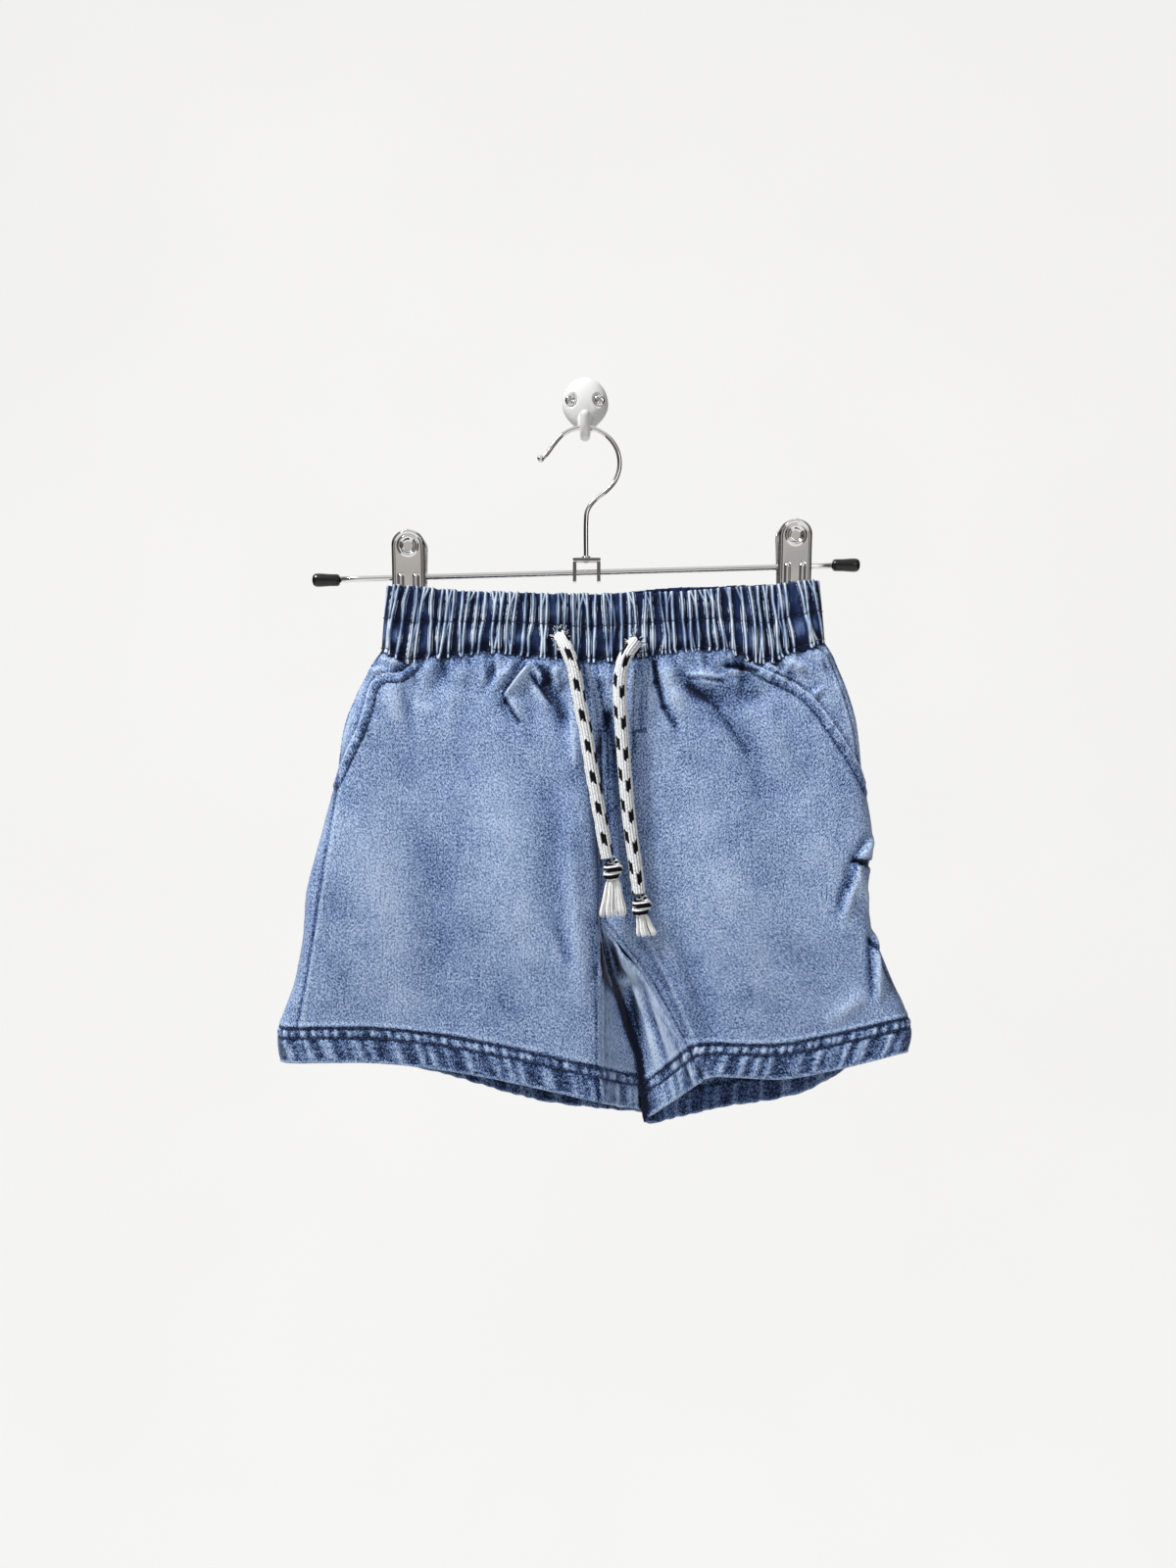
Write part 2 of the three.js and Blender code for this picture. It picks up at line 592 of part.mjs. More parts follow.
// The bracket is a sleeve round the bar with its middle cut away, leaving two narrow legs.
const bracketLow = V(-6.8, hangY - 3.5, -101);
const bracketHigh = V(8.6, hangY + 3.5, bracketTop);
const sheetSteel = 1.2;
const boreLow = V(bracketLow.x - 1, hangY - 2.3, -97.6);
const boreHigh = V(bracketHigh.x + 1, hangY + 2.3, bracketTop - sheetSteel);
const legWidth = 1.9;
const bridge = 2;
const windowLow = V(bracketLow.x + legWidth, hangY - 5, bracketLow.z - 2);
const windowHigh = V(bracketHigh.x - legWidth, hangY + 5, bracketTop - bridge);
const pin = new THREE.CylinderGeometry(wireRadius + seamGap, wireRadius + seamGap, 6, 16)
  .rotateX(Math.PI / 2)
  .translate(0.6, hangY, bracketTop);
const bracket = solid(boxBetween(bracketLow, bracketHigh))
  .subtract(solid(boxBetween(boreLow, boreHigh)))
  .subtract(solid(boxBetween(windowLow, windowHigh)))
  .subtract(solid(pin));
part('hanger_bracket', fromSolid(bracket), paints.chrome);

// Each clip is two bent jaws with a coil spring round the bar between them. Heights and depths
// are measured from the bar.
const jawSteel = 1.2;
const jawRows = table('z half front back', [
  [25.4, 3, -9.4, 9.4],
  [24.2, 5.6, -9.1, 9.1],
  [21.6, 7.9, -8.6, 8.6],
  [17.5, clipHalf, -7.9, 7.9],
  [8, clipHalf, -6.3, 6.3],
  [3, clipHalf, -5.5, 5.5],
  [-3, clipHalf, -5.1, 5.1],
  [-8, clipHalf, -4.2, 4.7],
  [-13, clipHalf, -3.1, 4.2],
  [-18.6, clipHalf, -2.7, 4.1],
]);

/** One jaw of a clip, bent about the bar. */
function jaw(face, inwards) {
  const rows = jawRows.map((_, k) => k);
  const outer = (u, k) => V(mix(-1, 1, u) * jawRows[k].half, jawRows[k][face], jawRows[k].z);
  const inner = (u, k) => outer(u, k).add(V(0, inwards * jawSteel, 0));
  return between(outer, inner, evenly(4), rows, -inwards);
}

for (const [side, x] of Object.entries(clipPlaces)) {
  const clip = new THREE.Group();
  clip.position.set(x, hangY, barMiddle.z + (x - barMiddle.x) * barTilt);
  group.add(clip);
  part(`clip_front_${side}`, jaw('front', 1), paints.chrome, clip);
  part(`clip_back_${side}`, jaw('back', -1), paints.chrome, clip);
  const bore = barRadius + seamGap + 0.1;
  const coil = 3.7;
  const half = 6;
  const ring = [[bore, -half], [coil, -half], [coil, half], [bore, half], [bore, -half]];
  const spring = new THREE.LatheGeometry(ring.map(([r, h]) => new THREE.Vector2(r, h)), 20);
  part(`clip_spring_${side}`, spring.rotateZ(Math.PI / 2), paints.chrome, clip).rotation.y = -barTilt;
}

// ---------- wall hook ----------
const plate = { half: 13.4, depth: 8, middleZ: 3.4, tall: 15.8 };
const screwX = 8.2;
const screwZ = 4.6;
const screwSeat = -5.2;

const dome = new THREE.SphereGeometry(1, 32, 20);
const domePoints = dome.attributes.position;
for (let k = 0; k < domePoints.count; k += 1) {
  const z = domePoints.getZ(k);
  const taper = z < 0 ? 1 - 0.42 * z * z : 1;
  domePoints.setXYZ(
    k,
    domePoints.getX(k) * plate.half * taper,
    domePoints.getY(k) * plate.depth,
    plate.middleZ + z * plate.tall,
  );
}
const prongRoute = [
  [0, -3, -4], [0, -6.5, -9.5], [0, -10.5, -15], [0, -15.2, -18.6], [0, -20, -18.4],
  [0, -23.8, -14.6], [0, -25.6, -9.6],
];
const prongRadius = 2.9;
const prong = solid(rope(prongRoute, prongRadius, 14, 18));
const prongTip = solid(new THREE.SphereGeometry(prongRadius, 14, 10).translate(0, -25.6, -9.6));
const inWall = solid(boxBetween(V(-40, 0, -40), V(40, 30, 40)));
let wallPlate = solid(dome).add(prong).add(prongTip).subtract(inWall);
for (const x of [-screwX, screwX]) {
  const bore = new THREE.CylinderGeometry(2.2, 2.2, 30, 20).translate(x, 0, screwZ);
  const seat = new THREE.CylinderGeometry(3.7, 3.7, 20, 24).translate(x, screwSeat - 10, screwZ);
  wallPlate = wallPlate.subtract(solid(bore)).subtract(solid(seat));
}
part('wall_plate', fromSolid(wallPlate), paints.enamel);

for (const [side, x] of [['left', -screwX], ['right', screwX]]) {
  const shankEnd = -0.4;
  const under = screwSeat - seamGap;
  const profile = [[0, shankEnd], [1.8, shankEnd], [1.8, under], [3.3, under], [3.1, under - 0.9],
    [2, under - 1.6], [0, under - 1.9]];
  const screw = new THREE.LatheGeometry(profile.map(([r, y]) => new THREE.Vector2(r, y)).reverse(), 24);
  part(`screw_${side}`, screw, paints.chrome).position.set(x, 0, screwZ);
}

export default group;
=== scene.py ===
"""Looks for the child's denim shorts on a clip hanger and wall hook.

Sizes in the tables are millimetres in the CAD frame: +X right, +Y into the wall, +Z up, with the
origin at the middle of the wall plate's back face. Meshes are made in metres.
"""
import math
from itertools import zip_longest

import bpy
import numpy as np
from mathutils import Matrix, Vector
from mathutils.bvhtree import BVHTree


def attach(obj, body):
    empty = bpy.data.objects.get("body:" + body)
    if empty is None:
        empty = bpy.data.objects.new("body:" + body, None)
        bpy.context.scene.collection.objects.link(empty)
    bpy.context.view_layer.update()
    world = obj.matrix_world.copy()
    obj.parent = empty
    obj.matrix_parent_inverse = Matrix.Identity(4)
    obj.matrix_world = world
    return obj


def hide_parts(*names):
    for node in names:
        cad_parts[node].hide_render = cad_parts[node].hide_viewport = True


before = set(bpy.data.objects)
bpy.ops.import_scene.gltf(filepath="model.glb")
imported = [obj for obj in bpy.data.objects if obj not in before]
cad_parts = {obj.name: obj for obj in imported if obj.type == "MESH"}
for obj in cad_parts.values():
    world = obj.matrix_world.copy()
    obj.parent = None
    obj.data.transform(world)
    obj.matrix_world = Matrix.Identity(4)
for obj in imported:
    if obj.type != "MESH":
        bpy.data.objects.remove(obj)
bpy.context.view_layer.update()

MM = 0.001
DENIM = 1.2  # one layer of cloth
SEAM_GAP = 0.3
SIDE_Y = -20.0  # depth of the side seams
SIDE_ROUND = 7.0  # how far the side folds are rounded, along X
HANG_Y = -16.0  # depth of the hanger's bar and wire
CROTCH = 6  # the section that passes through the crotch point
OUTWARD = {"left": -1, "right": 1}
SNAP = 2.5  # points cut away this near a pocket mouth move on to its edge


# ---------- camera and stage ----------
VIEW_DISTANCE = 0.70
VIEW_HEIGHT = 0.88  # what the picture's long side takes in at the hanger's depth
VIEW_X, VIEW_Z = 0.00165, -0.214


def make_camera():
    data = bpy.data.cameras.new("camera")
    data.sensor_width = 36
    data.lens = data.sensor_width * VIEW_DISTANCE / VIEW_HEIGHT
    camera = bpy.data.objects.new("camera", data)
    camera.location = (VIEW_X, HANG_Y * MM - VIEW_DISTANCE, VIEW_Z)
    camera.rotation_euler = (math.pi / 2, 0, 0)
    bpy.context.collection.objects.link(camera)
    bpy.context.scene.camera = camera


def area_light(name, place, target, size, power):
    data = bpy.data.lights.new(name, "AREA")
    data.shape = "DISK"
    data.size = size
    data.energy = power
    lamp = bpy.data.objects.new(name, data)
    lamp.location = place
    lamp.rotation_euler = (Vector(target) - Vector(place)).to_track_quat("-Z", "Y").to_euler()
    bpy.context.collection.objects.link(lamp)


# Places and brightness of the world from below to above, with a dark band that the chrome reflects.
SKY = [(0.12, 0.60), (0.20, 0.62), (0.30, 0.16), (0.42, 0.20), (0.54, 0.95)]


def make_light():
    world = bpy.data.worlds.new("studio")
    bpy.context.scene.world = world
    world.use_nodes = True
    sky = Nodes(world.node_tree)
    place = sky.node("ShaderNodeTexCoord")
    aside = sky.node("ShaderNodeSeparateXYZ", i0=place)
    height = aside.node.outputs[2]
    streak = sky.noise(place, 2.2)
    height = sky.node("ShaderNodeMath", settings={"operation": "MULTIPLY_ADD"}, i0=streak, i1=0.35, i2=height)
    greys = [(at, (level, level, level * 1.02)) for at, level in SKY]
    colour = sky.ramp(height, [(0.0, (0.74, 0.71, 0.68)), *greys, (1.0, (1.0, 1.02, 1.06))])
    strength = sky.spread(sky.math("MULTIPLY", aside, aside), 0.14, 0.36, 0.72, 0.16)
    background = sky.tree.nodes["Background"]
    sky.tree.links.new(colour, background.inputs["Color"])
    sky.tree.links.new(strength, background.inputs["Strength"])
    middle = (0, -0.02, -0.2)
    area_light("key", (-1.15, -0.80, 1.5), middle, 0.4, 58)
    area_light("fill", (1.2, -2.2, 0.4), middle, 1.2, 6)
    bpy.context.scene.view_settings.view_transform = "Standard"


def make_stage():
    """A pale floor that curves up into a pale backdrop, well clear of the part."""
    floor_z, back_y, front_y, top_z, bend = -1.9, 2.3, -3.2, 2.6, 0.9
    profile = [(front_y, floor_z), (back_y - bend, floor_z)]
    for k in range(1, 13):
        turn = math.pi / 2 * k / 12
        profile.append((back_y - bend + bend * math.sin(turn), floor_z + bend - bend * math.cos(turn)))
    profile.append((back_y, top_z))
    grid = np.array([[(x, y, z) for x in (-2.1, 2.1)] for y, z in profile]) / MM
    sweep = grid_object("backdrop", grid, 1)
    graph = Graph("backdrop")
    graph.set("Roughness", 0.95)
    graph.set("Emission Color", (1.0, 0.995, 0.985, 1))
    graph.set("Emission Strength", 0.79)
    haze = graph.noise(graph.position(), 1.6, detail=2)
    graph.link("Base Color", graph.ramp(haze, [(0.3, (0.13, 0.13, 0.13)), (0.7, (0.15, 0.15, 0.15))]))
    sweep.data.materials.append(graph.material)


# ---------- material graphs ----------
class Nodes:
    """A small wrapper that builds a node tree from named steps. Inputs i0, i1 and so on go by index."""

    def __init__(self, tree):
        self.tree = tree

    def node(self, kind, output=0, settings=(), **inputs):
        node = self.tree.nodes.new(kind)
        for key, value in dict(settings).items():
            setattr(node, key, value)
        for key, value in inputs.items():
            slot = node.inputs[int(key[1:])] if key[0] == "i" and key[1:].isdigit() else node.inputs[key]
            if isinstance(value, bpy.types.NodeSocket):
                self.tree.links.new(value, slot)
            else:
                slot.default_value = value
        return node.outputs[output]

    def math(self, operation, a, b):
        return self.node("ShaderNodeMath", settings={"operation": operation}, i0=a, i1=b)

    def mix(self, share, a, b):
        return self.node("ShaderNodeMix", 2, {"data_type": "RGBA"}, i0=share, i6=a, i7=b)

    def ramp(self, share, stops):
        node = self.tree.nodes.new("ShaderNodeValToRGB")
        ramp = node.color_ramp
        while len(ramp.elements) < len(stops):
            ramp.elements.new(0.5)
        for element, (place, colour) in zip(ramp.elements, stops):
            element.position = place
            element.color = (*colour, 1)
        self.tree.links.new(share, node.inputs[0])
        return node.outputs[0]

    def spread(self, value, low, high, to_low=0.0, to_high=1.0):
        return self.node("ShaderNodeMapRange", i0=value, i1=low, i2=high, i3=to_low, i4=to_high)

    def noise(self, place, scale, detail=2.0, roughness=0.5):
        inputs = dict(Vector=place, Scale=scale, Detail=detail, Roughness=roughness)
        return self.node("ShaderNodeTexNoise", **inputs)


class Graph(Nodes):
    """The nodes of a Principled material."""

    def __init__(self, name):
        self.material = bpy.data.materials.new(name)
        self.material.use_nodes = True
        super().__init__(self.material.node_tree)
        self.shader = self.tree.nodes["Principled BSDF"]

    def set(self, socket, value):
        self.shader.inputs[socket].default_value = value

    def link(self, socket, source):
        self.tree.links.new(source, self.shader.inputs[socket])

    def position(self):
        return self.node("ShaderNodeTexCoord", 3)

    def cloth_place(self, across=1.0, along=1.0, turn=0.0):
        """The weave's own coordinates, in millimetres, stretched by across and along."""
        uv = self.node("ShaderNodeUVMap", settings={"uv_map": "weave"})
        scale = (across / MM, along / MM, 1.0)
        return self.node("ShaderNodeMapping", Vector=uv, Rotation=(0, 0, turn), Scale=scale)

    def attribute(self, name):
        return self.node("ShaderNodeAttribute", 2, settings={"attribute_name": name})

    def bump(self, height, distance, strength=1.0):
        return self.node("ShaderNodeBump", Height=height, Distance=distance, Strength=strength)


def denim(name, deep, middle, light, grain=1.0):
    """Washed twill. The mesh's 'fade' attribute is 0 where the blue is deep and where shade is painted in,
    and 1 where the cloth is worn and where a highlight is painted in.
    """
    graph = Graph(name)
    flat = graph.cloth_place()
    yarn = graph.noise(graph.cloth_place(1.15, 0.75), 1.0, detail=2.0, roughness=0.7)
    speck = graph.noise(graph.cloth_place(1.0, 1.0, 0.9), 1.0, detail=1.0, roughness=0.7)
    slub = graph.noise(graph.cloth_place(0.9, 0.06), 1.0, detail=2.0)
    wash = graph.noise(flat, 0.022, detail=3.0, roughness=0.55)
    blotch = graph.noise(flat, 0.12, detail=2.0)
    wave = {"Scale": 0.32, "Distortion": 1.1, "Detail": 1.0, "Detail Scale": 1.4}
    twill = graph.node("ShaderNodeTexWave", 1, Vector=graph.cloth_place(1, 1, 0.62), **wave)
    thread = graph.math("ADD", graph.spread(yarn, 0.44, 0.56), graph.spread(speck, 0.45, 0.55, 0, 0.75))
    thread = graph.math("ADD", thread, graph.math("MULTIPLY", twill, 0.4))
    thread = graph.math("MULTIPLY", graph.math("SUBTRACT", thread, 1.08), 0.42 * grain)
    # The cloth's tone, with the painted shade and highlights that the mesh carries.
    tone_and_shade = graph.math("ADD", graph.attribute("fade"), thread)
    tone_and_shade = graph.math("ADD", tone_and_shade, graph.spread(slub, 0.3, 0.7, -0.09, 0.09))
    tone_and_shade = graph.math("ADD", tone_and_shade, graph.spread(wash, 0.3, 0.7, -0.09, 0.09))
    tone_and_shade = graph.math("ADD", tone_and_shade, graph.spread(blotch, 0.3, 0.7, -0.045, 0.045))
    # The near-black stop under deep is painted shadow, reached where the gap between the legs is darkened.
    black = tuple(0.2 * c for c in deep)
    graph.link("Base Color", graph.ramp(tone_and_shade, [(0.0, black), (0.09, deep), (0.5, middle), (1.0, light)]))
    graph.set("Roughness", 0.88)
    graph.set("Sheen Weight", 0.18)
    graph.set("Sheen Roughness", 0.45)
    graph.set("Specular IOR Level", 0.2)
    relief = graph.math("ADD", graph.math("MULTIPLY", twill, 0.6), graph.math("MULTIPLY", yarn, 0.8))
    graph.link("Normal", graph.bump(relief, 0.00018, 0.7))
    return graph.material


def plain(name, colour, roughness, mottle, metal=0.0, coat=0.0):
    """A hard finish with a little unevenness in its colour, gloss and surface."""
    graph = Graph(name)
    place = graph.position()
    patch = graph.noise(place, 40.0, detail=3.0)
    low = tuple(c * (1 - mottle) for c in colour)
    high = tuple(min(1.0, c * (1 + mottle)) for c in colour)
    graph.link("Base Color", graph.ramp(patch, [(0.3, low), (0.7, high)]))
    graph.link("Roughness", graph.spread(patch, 0.3, 0.7, roughness * 0.75, roughness * 1.3))
    graph.set("Metallic", metal)
    graph.set("Coat Weight", coat)
    graph.set("Coat Roughness", 0.06)
    graph.link("Normal", graph.bump(graph.noise(place, 900.0, detail=2.0), 0.00003, 0.5))
    return graph.material


def braid_material():
    """Cotton braid: 'fleck' is 1 on the dark yarns and 'groove' is 1 between the strands."""
    graph = Graph("braid")
    fuzz = graph.noise(graph.position(), 1500.0, detail=2.0)
    white = graph.ramp(fuzz, [(0.3, (0.86, 0.87, 0.87)), (0.7, (0.98, 0.98, 0.96))])
    shaded = graph.mix(graph.attribute("groove"), white, (0.30, 0.32, 0.36, 1))
    black = graph.ramp(fuzz, [(0.35, (0.001, 0.001, 0.002)), (0.7, (0.008, 0.008, 0.012))])
    fleck = graph.math("GREATER_THAN", graph.attribute("fleck"), 0.5)
    graph.link("Base Color", graph.mix(fleck, shaded, black))
    graph.set("Roughness", 0.9)
    graph.set("Specular IOR Level", 0.15)
    graph.link("Normal", graph.bump(fuzz, 0.00012, 0.7))
    return graph.material


def thread_material(name, colour, light):
    graph = Graph(name)
    twist = graph.noise(graph.position(), 1300.0, detail=1.0)
    graph.link("Base Color", graph.ramp(twist, [(0.35, colour), (0.75, light)]))
    graph.set("Roughness", 0.7)
    graph.link("Normal", graph.bump(twist, 0.0001, 0.6))
    return graph.material


# ---------- meshes ----------
def new_object(name, points, faces, uvs=None, values=None):
    """A smooth mesh: points in millimetres, faces as lists, and uvs and values per point."""
    mesh = bpy.data.meshes.new(name)
    mesh.from_pydata((np.asarray(points) * MM).tolist(), [], faces)
    if uvs is not None:
        corners = np.zeros(len(mesh.loops), np.int32)
        mesh.loops.foreach_get("vertex_index", corners)
        layer = mesh.uv_layers.new(name="weave")
        layer.data.foreach_set("uv", (np.asarray(uvs) * MM)[corners].astype(np.float32).ravel())
    for key, value in (values or {}).items():
        field = mesh.attributes.new(key, "FLOAT", "POINT")
        field.data.foreach_set("value", np.asarray(value, np.float32).ravel())
    mesh.polygons.foreach_set("use_smooth", np.ones(len(mesh.polygons), bool))
    mesh.update()
    obj = bpy.data.objects.new(name, mesh)
    bpy.context.collection.objects.link(obj)
    return obj


def grid_faces(rows, columns, side, wrap=False):
    """Quads of a grid of points, facing du x dv where side is 1."""
    j, i = np.meshgrid(np.arange(rows - 1), np.arange(columns if wrap else columns - 1), indexing="ij")
    after = (i + 1) % columns
    here, below = j * columns, (j + 1) * columns
    quads = np.stack([here + i, here + after, below + after, below + i], -1).reshape(-1, 4)
    return quads if side > 0 else quads[:, ::-1]


def grid_object(name, grid, side, uvs=None, values=None, keep=None):
    """A sheet through a grid of points, or only its faces with a corner to keep."""
    rows, columns = grid.shape[:2]
    faces = grid_faces(rows, columns, side)
    if keep is not None:
        faces = faces[keep.ravel()[faces].any(1)]
    points = grid.reshape(-1, 3)
    used, faces = np.unique(faces, return_inverse=True)
    faces = faces.reshape(-1, 4).tolist()
    values = {key: np.asarray(value).ravel()[used] for key, value in (values or {}).items()}
    uvs = None if uvs is None else uvs.reshape(-1, 2)[used]
    return new_object(name, points[used], faces, uvs, values)


def thicken(obj, thickness):
    """Makes a sheet a wall, inwards from its outer face."""
    modifier = obj.modifiers.new("thickness", "SOLIDIFY")
    modifier.thickness = thickness * MM
    modifier.offset = -1
    modifier.use_even_offset = False


def finish_piece(obj, slot, material, *nodes):
    obj.data.materials.append(material)
    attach(obj, "root")
    if nodes:
        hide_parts(*nodes)


def frames_along(path):
    """The direction, and two directions across it that don't twist, at each point of a path."""
    path = np.asarray(path, float)
    along = np.gradient(path, axis=0)
    along /= np.linalg.norm(along, axis=1, keepdims=True)
    across = np.zeros_like(path)
    first = np.cross(along[0], (1.0, 0.0, 0.0))
    if np.linalg.norm(first) < 0.1:
        first = np.cross(along[0], (0.0, 0.0, 1.0))
    across[0] = first / np.linalg.norm(first)
    for k in range(1, len(path)):
        side = across[k - 1] - along[k] * (across[k - 1] @ along[k])
        across[k] = side / np.linalg.norm(side)
    return along, across, np.cross(along, across)


def round_turns(sides):
    return 2 * np.pi * np.arange(sides) / sides


def capped_tube(path, reach, sides):
    """Rings round a path, closed at both ends; reach has a row for each ring."""
    _, first, second = frames_along(path)
    turn = round_turns(sides)
    circle = np.cos(turn)[None, :, None] * first[:, None] + np.sin(turn)[None, :, None] * second[:, None]
    rings = path[:, None] + circle * reach[..., None]
    faces = grid_faces(len(path), sides, -1, wrap=True).tolist()
    ends = len(path) * sides
    last = ends - sides
    for k in range(sides):
        after = (k + 1) % sides
        faces.append([ends, k, after])
        faces.append([ends + 1, last + after, last + k])
    return np.concatenate([rings.reshape(-1, 3), [path[0], path[-1]]]), faces


def tube(path, radius, sides):
    """A round bar along a path of points; radius may be one number or one for each point."""
    path = np.asarray(path, float)
    return capped_tube(path, np.broadcast_to(radius, (len(path),))[:, None], sides)


def joined(name, parts):
    """One object from many (points, faces) pairs."""
    points, faces, offset = [], [], 0
    for some, quads in parts:
        points.append(np.asarray(some, float))
        faces += [[offset + k for k in face] for face in quads]
        offset += len(some)
    return new_object(name, np.concatenate(points), faces)


# ---------- curves ----------
def spline(points, share):
    """Centripetal Catmull-Rom curves along the first axis, at shares of the index."""
    points = np.asarray(points, float)
    last = len(points) - 1
    place = np.clip(np.asarray(share, float), 0, 1) * last
    k = np.minimum(place.astype(int), last - 1)
    w = (place - k).reshape((-1,) + (1,) * (points.ndim - 1))
    line = np.concatenate([[2 * points[0] - points[1]], points, [2 * points[-1] - points[-2]]])
    p0, p1, p2, p3 = (line[k + j] for j in range(4))

    def gap(a, b):
        return np.maximum(np.linalg.norm(a - b, axis=-1, keepdims=True), 1e-6) ** 0.5

    d0, d1, d2 = gap(p0, p1), gap(p1, p2), gap(p2, p3)
    t1 = ((p1 - p0) / d0 - (p2 - p0) / (d0 + d1) + (p2 - p1) / d1) * d1
    t2 = ((p2 - p1) / d1 - (p3 - p1) / (d1 + d2) + (p3 - p2) / d2) * d1
    curve = p1 + t1 * w + (3 * (p2 - p1) - 2 * t1 - t2) * w**2
    return curve + (2 * (p1 - p2) + t1 + t2) * w**3


def lengths(line):
    steps = np.linalg.norm(np.diff(line, axis=0), axis=-1)
    return np.concatenate([[0], np.cumsum(steps)])


def evenly(line, step):
    """Shares of the index that step evenly along a densely sampled line."""
    run = lengths(line)
    count = max(2, int(round(run[-1] / step)))
    return np.interp(np.linspace(0, run[-1], count + 1), run, np.linspace(0, 1, len(line)))


def spaced(line, steps):
    """Like evenly, but the step changes along the line: steps holds (run from the start, step) pairs."""
    run = lengths(line)
    at, step = np.array(steps, float).T
    density = 1 / np.interp(run, at, step)
    count = np.concatenate([[0], np.cumsum(np.diff(run) * (density[1:] + density[:-1]) / 2)])
    marks = np.linspace(0, count[-1], max(3, int(round(count[-1])) + 1))
    return np.interp(marks, count, np.linspace(0, 1, len(line)))


def read_off(at, run, values):
    """Each column of values, read at distances along a run."""
    return np.stack([np.interp(at, run, values[:, k]) for k in range(values.shape[1])], -1)


def resample(line, step):
    run = lengths(line)
    count = max(2, int(round(run[-1] / step)))
    return read_off(np.linspace(0, run[-1], count + 1), run, line)


def smooth_line(points, samples, step):
    """A spline through points, resampled at even steps."""
    return resample(spline(np.array(points, float), np.linspace(0, 1, samples)), step)


def ease(t):
    t = np.clip(t, 0, 1)
    return t * t * (3 - 2 * t)


def bell(distance, width):
    return np.exp(-((distance / width) ** 2))


# ---------- the cut of the shorts ----------
FRONT_COLUMNS = "sideX sideZ planeY foldX foldY foldZ seamX seamY seamZ liftOut liftIn"
BACK_COLUMNS = "sideX sideZ planeY turnX turnY turnZ seamX seamY seamZ liftOut liftIn bowX bowZ"


def table(columns, rows):
    """Rows under named columns. A short row ends in zeros."""
    return [dict(zip_longest(columns.split(), row, fillvalue=0)) for row in rows]


CUT = {
    "left": {
        "front": table(FRONT_COLUMNS, [
            (-113.3, -139, -29.7, -6, -29.7, -140, 2.5, -29.4, -140),
            (-125, -159.3, -32.5, -4, -32.5, -163, 5, -31, -164),
            (-134, -181, -35, -2, -34.8, -183, 8, -30.5, -184),
            (-139, -214, -36.5, 1.5, -36.5, -214, 9, -29.5, -214),
            (-147.5, -247, -38, 3.5, -37.5, -245, 9, -29.5, -245),
            (-154.5, -275, -38.5, 4.2, -37.5, -270, 8.7, -30.5, -270),
            (-155.7, -296, -38.5, 4.6, -37.5, -290, 8.1, -32, -290),
            (-161.5, -325, -38, 5, -38, -322, 8.8, -35.5, -322),
            (-170, -350, -37.5, 4.5, -38, -358, 9, -35.5, -360, 3, 3),
            (-169, -366, -37, 6, -38, -387, 10.5, -35.8, -388.5, 6, 6),
        ]),
        "back": table(BACK_COLUMNS, [
            (-113.3, -139, -13.2, -20, -13.2, -138, 2.5, -13.2, -138),
            (-125, -159.3, -10.5, -18, -10.5, -161, 4, -10.5, -161),
            (-134, -181, -9, -14, -9, -182, 6, -9, -182),
            (-139, -214, -8.5, -10, -8.5, -215, 8, -8.5, -215),
            (-147.5, -247, -8, -2, -8, -251, 11, -8, -252),
            (-154.5, -275, -8, 4, -8.5, -292, 14.5, -13, -314),
            (-155.7, -296, -8, 18.5, -9.5, -326, 8.1, -32, -290, 0, 0, -2, -10),
            (-161.5, -325, -8, 24, -9, -342, 8.8, -35.5, -322),
            (-170, -350, -8, 31, -9, -374, 9, -35.5, -360, 2, -2),
            (-169, -366, -8.5, 35, -9.5, -399, 10.5, -35.8, -388.5, 3, -4),
        ]),
    },
    "right": {
        "front": table(FRONT_COLUMNS, [
            (133.3, -133, -29.7, 16, -29.7, -140, 2.5, -29.4, -140),
            (144.5, -157.5, -32.5, 18, -32, -163, 5, -31, -164),
            (151, -178.5, -35, 20, -33.5, -183, 8, -30.5, -184),
            (155, -214, -36.5, 22, -34.5, -214, 9, -29.5, -214),
            (159.5, -247, -37.5, 24, -35.5, -245, 9, -29.5, -245),
            (156.5, -276, -38, 26, -36.5, -270, 8.7, -30.5, -270),
            (158.5, -293, -38, 31, -37.5, -291, 8.1, -32, -290),
            (169, -318, -38, 45, -38, -320, 32, -31, -319),
            (180.3, -348, -37.5, 59, -38, -355, 52, -33, -355, -2, -2),
            (179, -361, -37, 67, -37.5, -374, 62, -34.5, -378, -4, -6),
        ]),
        "back": table(BACK_COLUMNS, [
            (133.3, -133, -13.2, 24, -13.2, -138, 2.5, -13.2, -138),
            (144.5, -157.5, -10.5, 26, -10.5, -161, 4, -10.5, -161),
            (151, -178.5, -9, 27, -9, -182, 6, -9, -182),
            (155, -214, -8.5, 27, -8.5, -215, 8, -8.5, -215),
            (159.5, -247, -8, 27, -8, -251, 11, -8, -252),
            (156.5, -276, -8, 26, -8.5, -292, 14.5, -13, -314),
            (158.5, -293, -8, 21.5, -13, -324, 8.1, -32, -290, 0, 0, 4.5, -8),
            (169, -318, -8, 21.5, -15, -337, 32, -31, -319),
            (180.3, -348, -8, 27.5, -15, -366, 52, -33, -355, -6, -3),
            (179, -361, -8.5, 33, -15, -404, 62, -34.5, -378, -12, -6),
        ]),
    },
}

BAND_LINE = {
    "frontTop": [(-110, -104.6), (-52, -108.4), (2, -109.5), (50, -108.4), (88, -105.7), (130, -101.9)],
    "frontBottom": [(-113, -141), (-96, -148), (-83, -145), (-52, -142.3), (2, -147.2), (56, -141.7),
                    (72, -140.5), (99, -148), (118, -141), (133, -136)],
    "backTop": [(-110, -104), (-52, -106.5), (2, -107.5), (60, -103.4), (130, -101.4)],
    "backBottom": [(-113, -141), (-52, -141.6), (2, -141.7), (72, -140), (133, -136)],
}


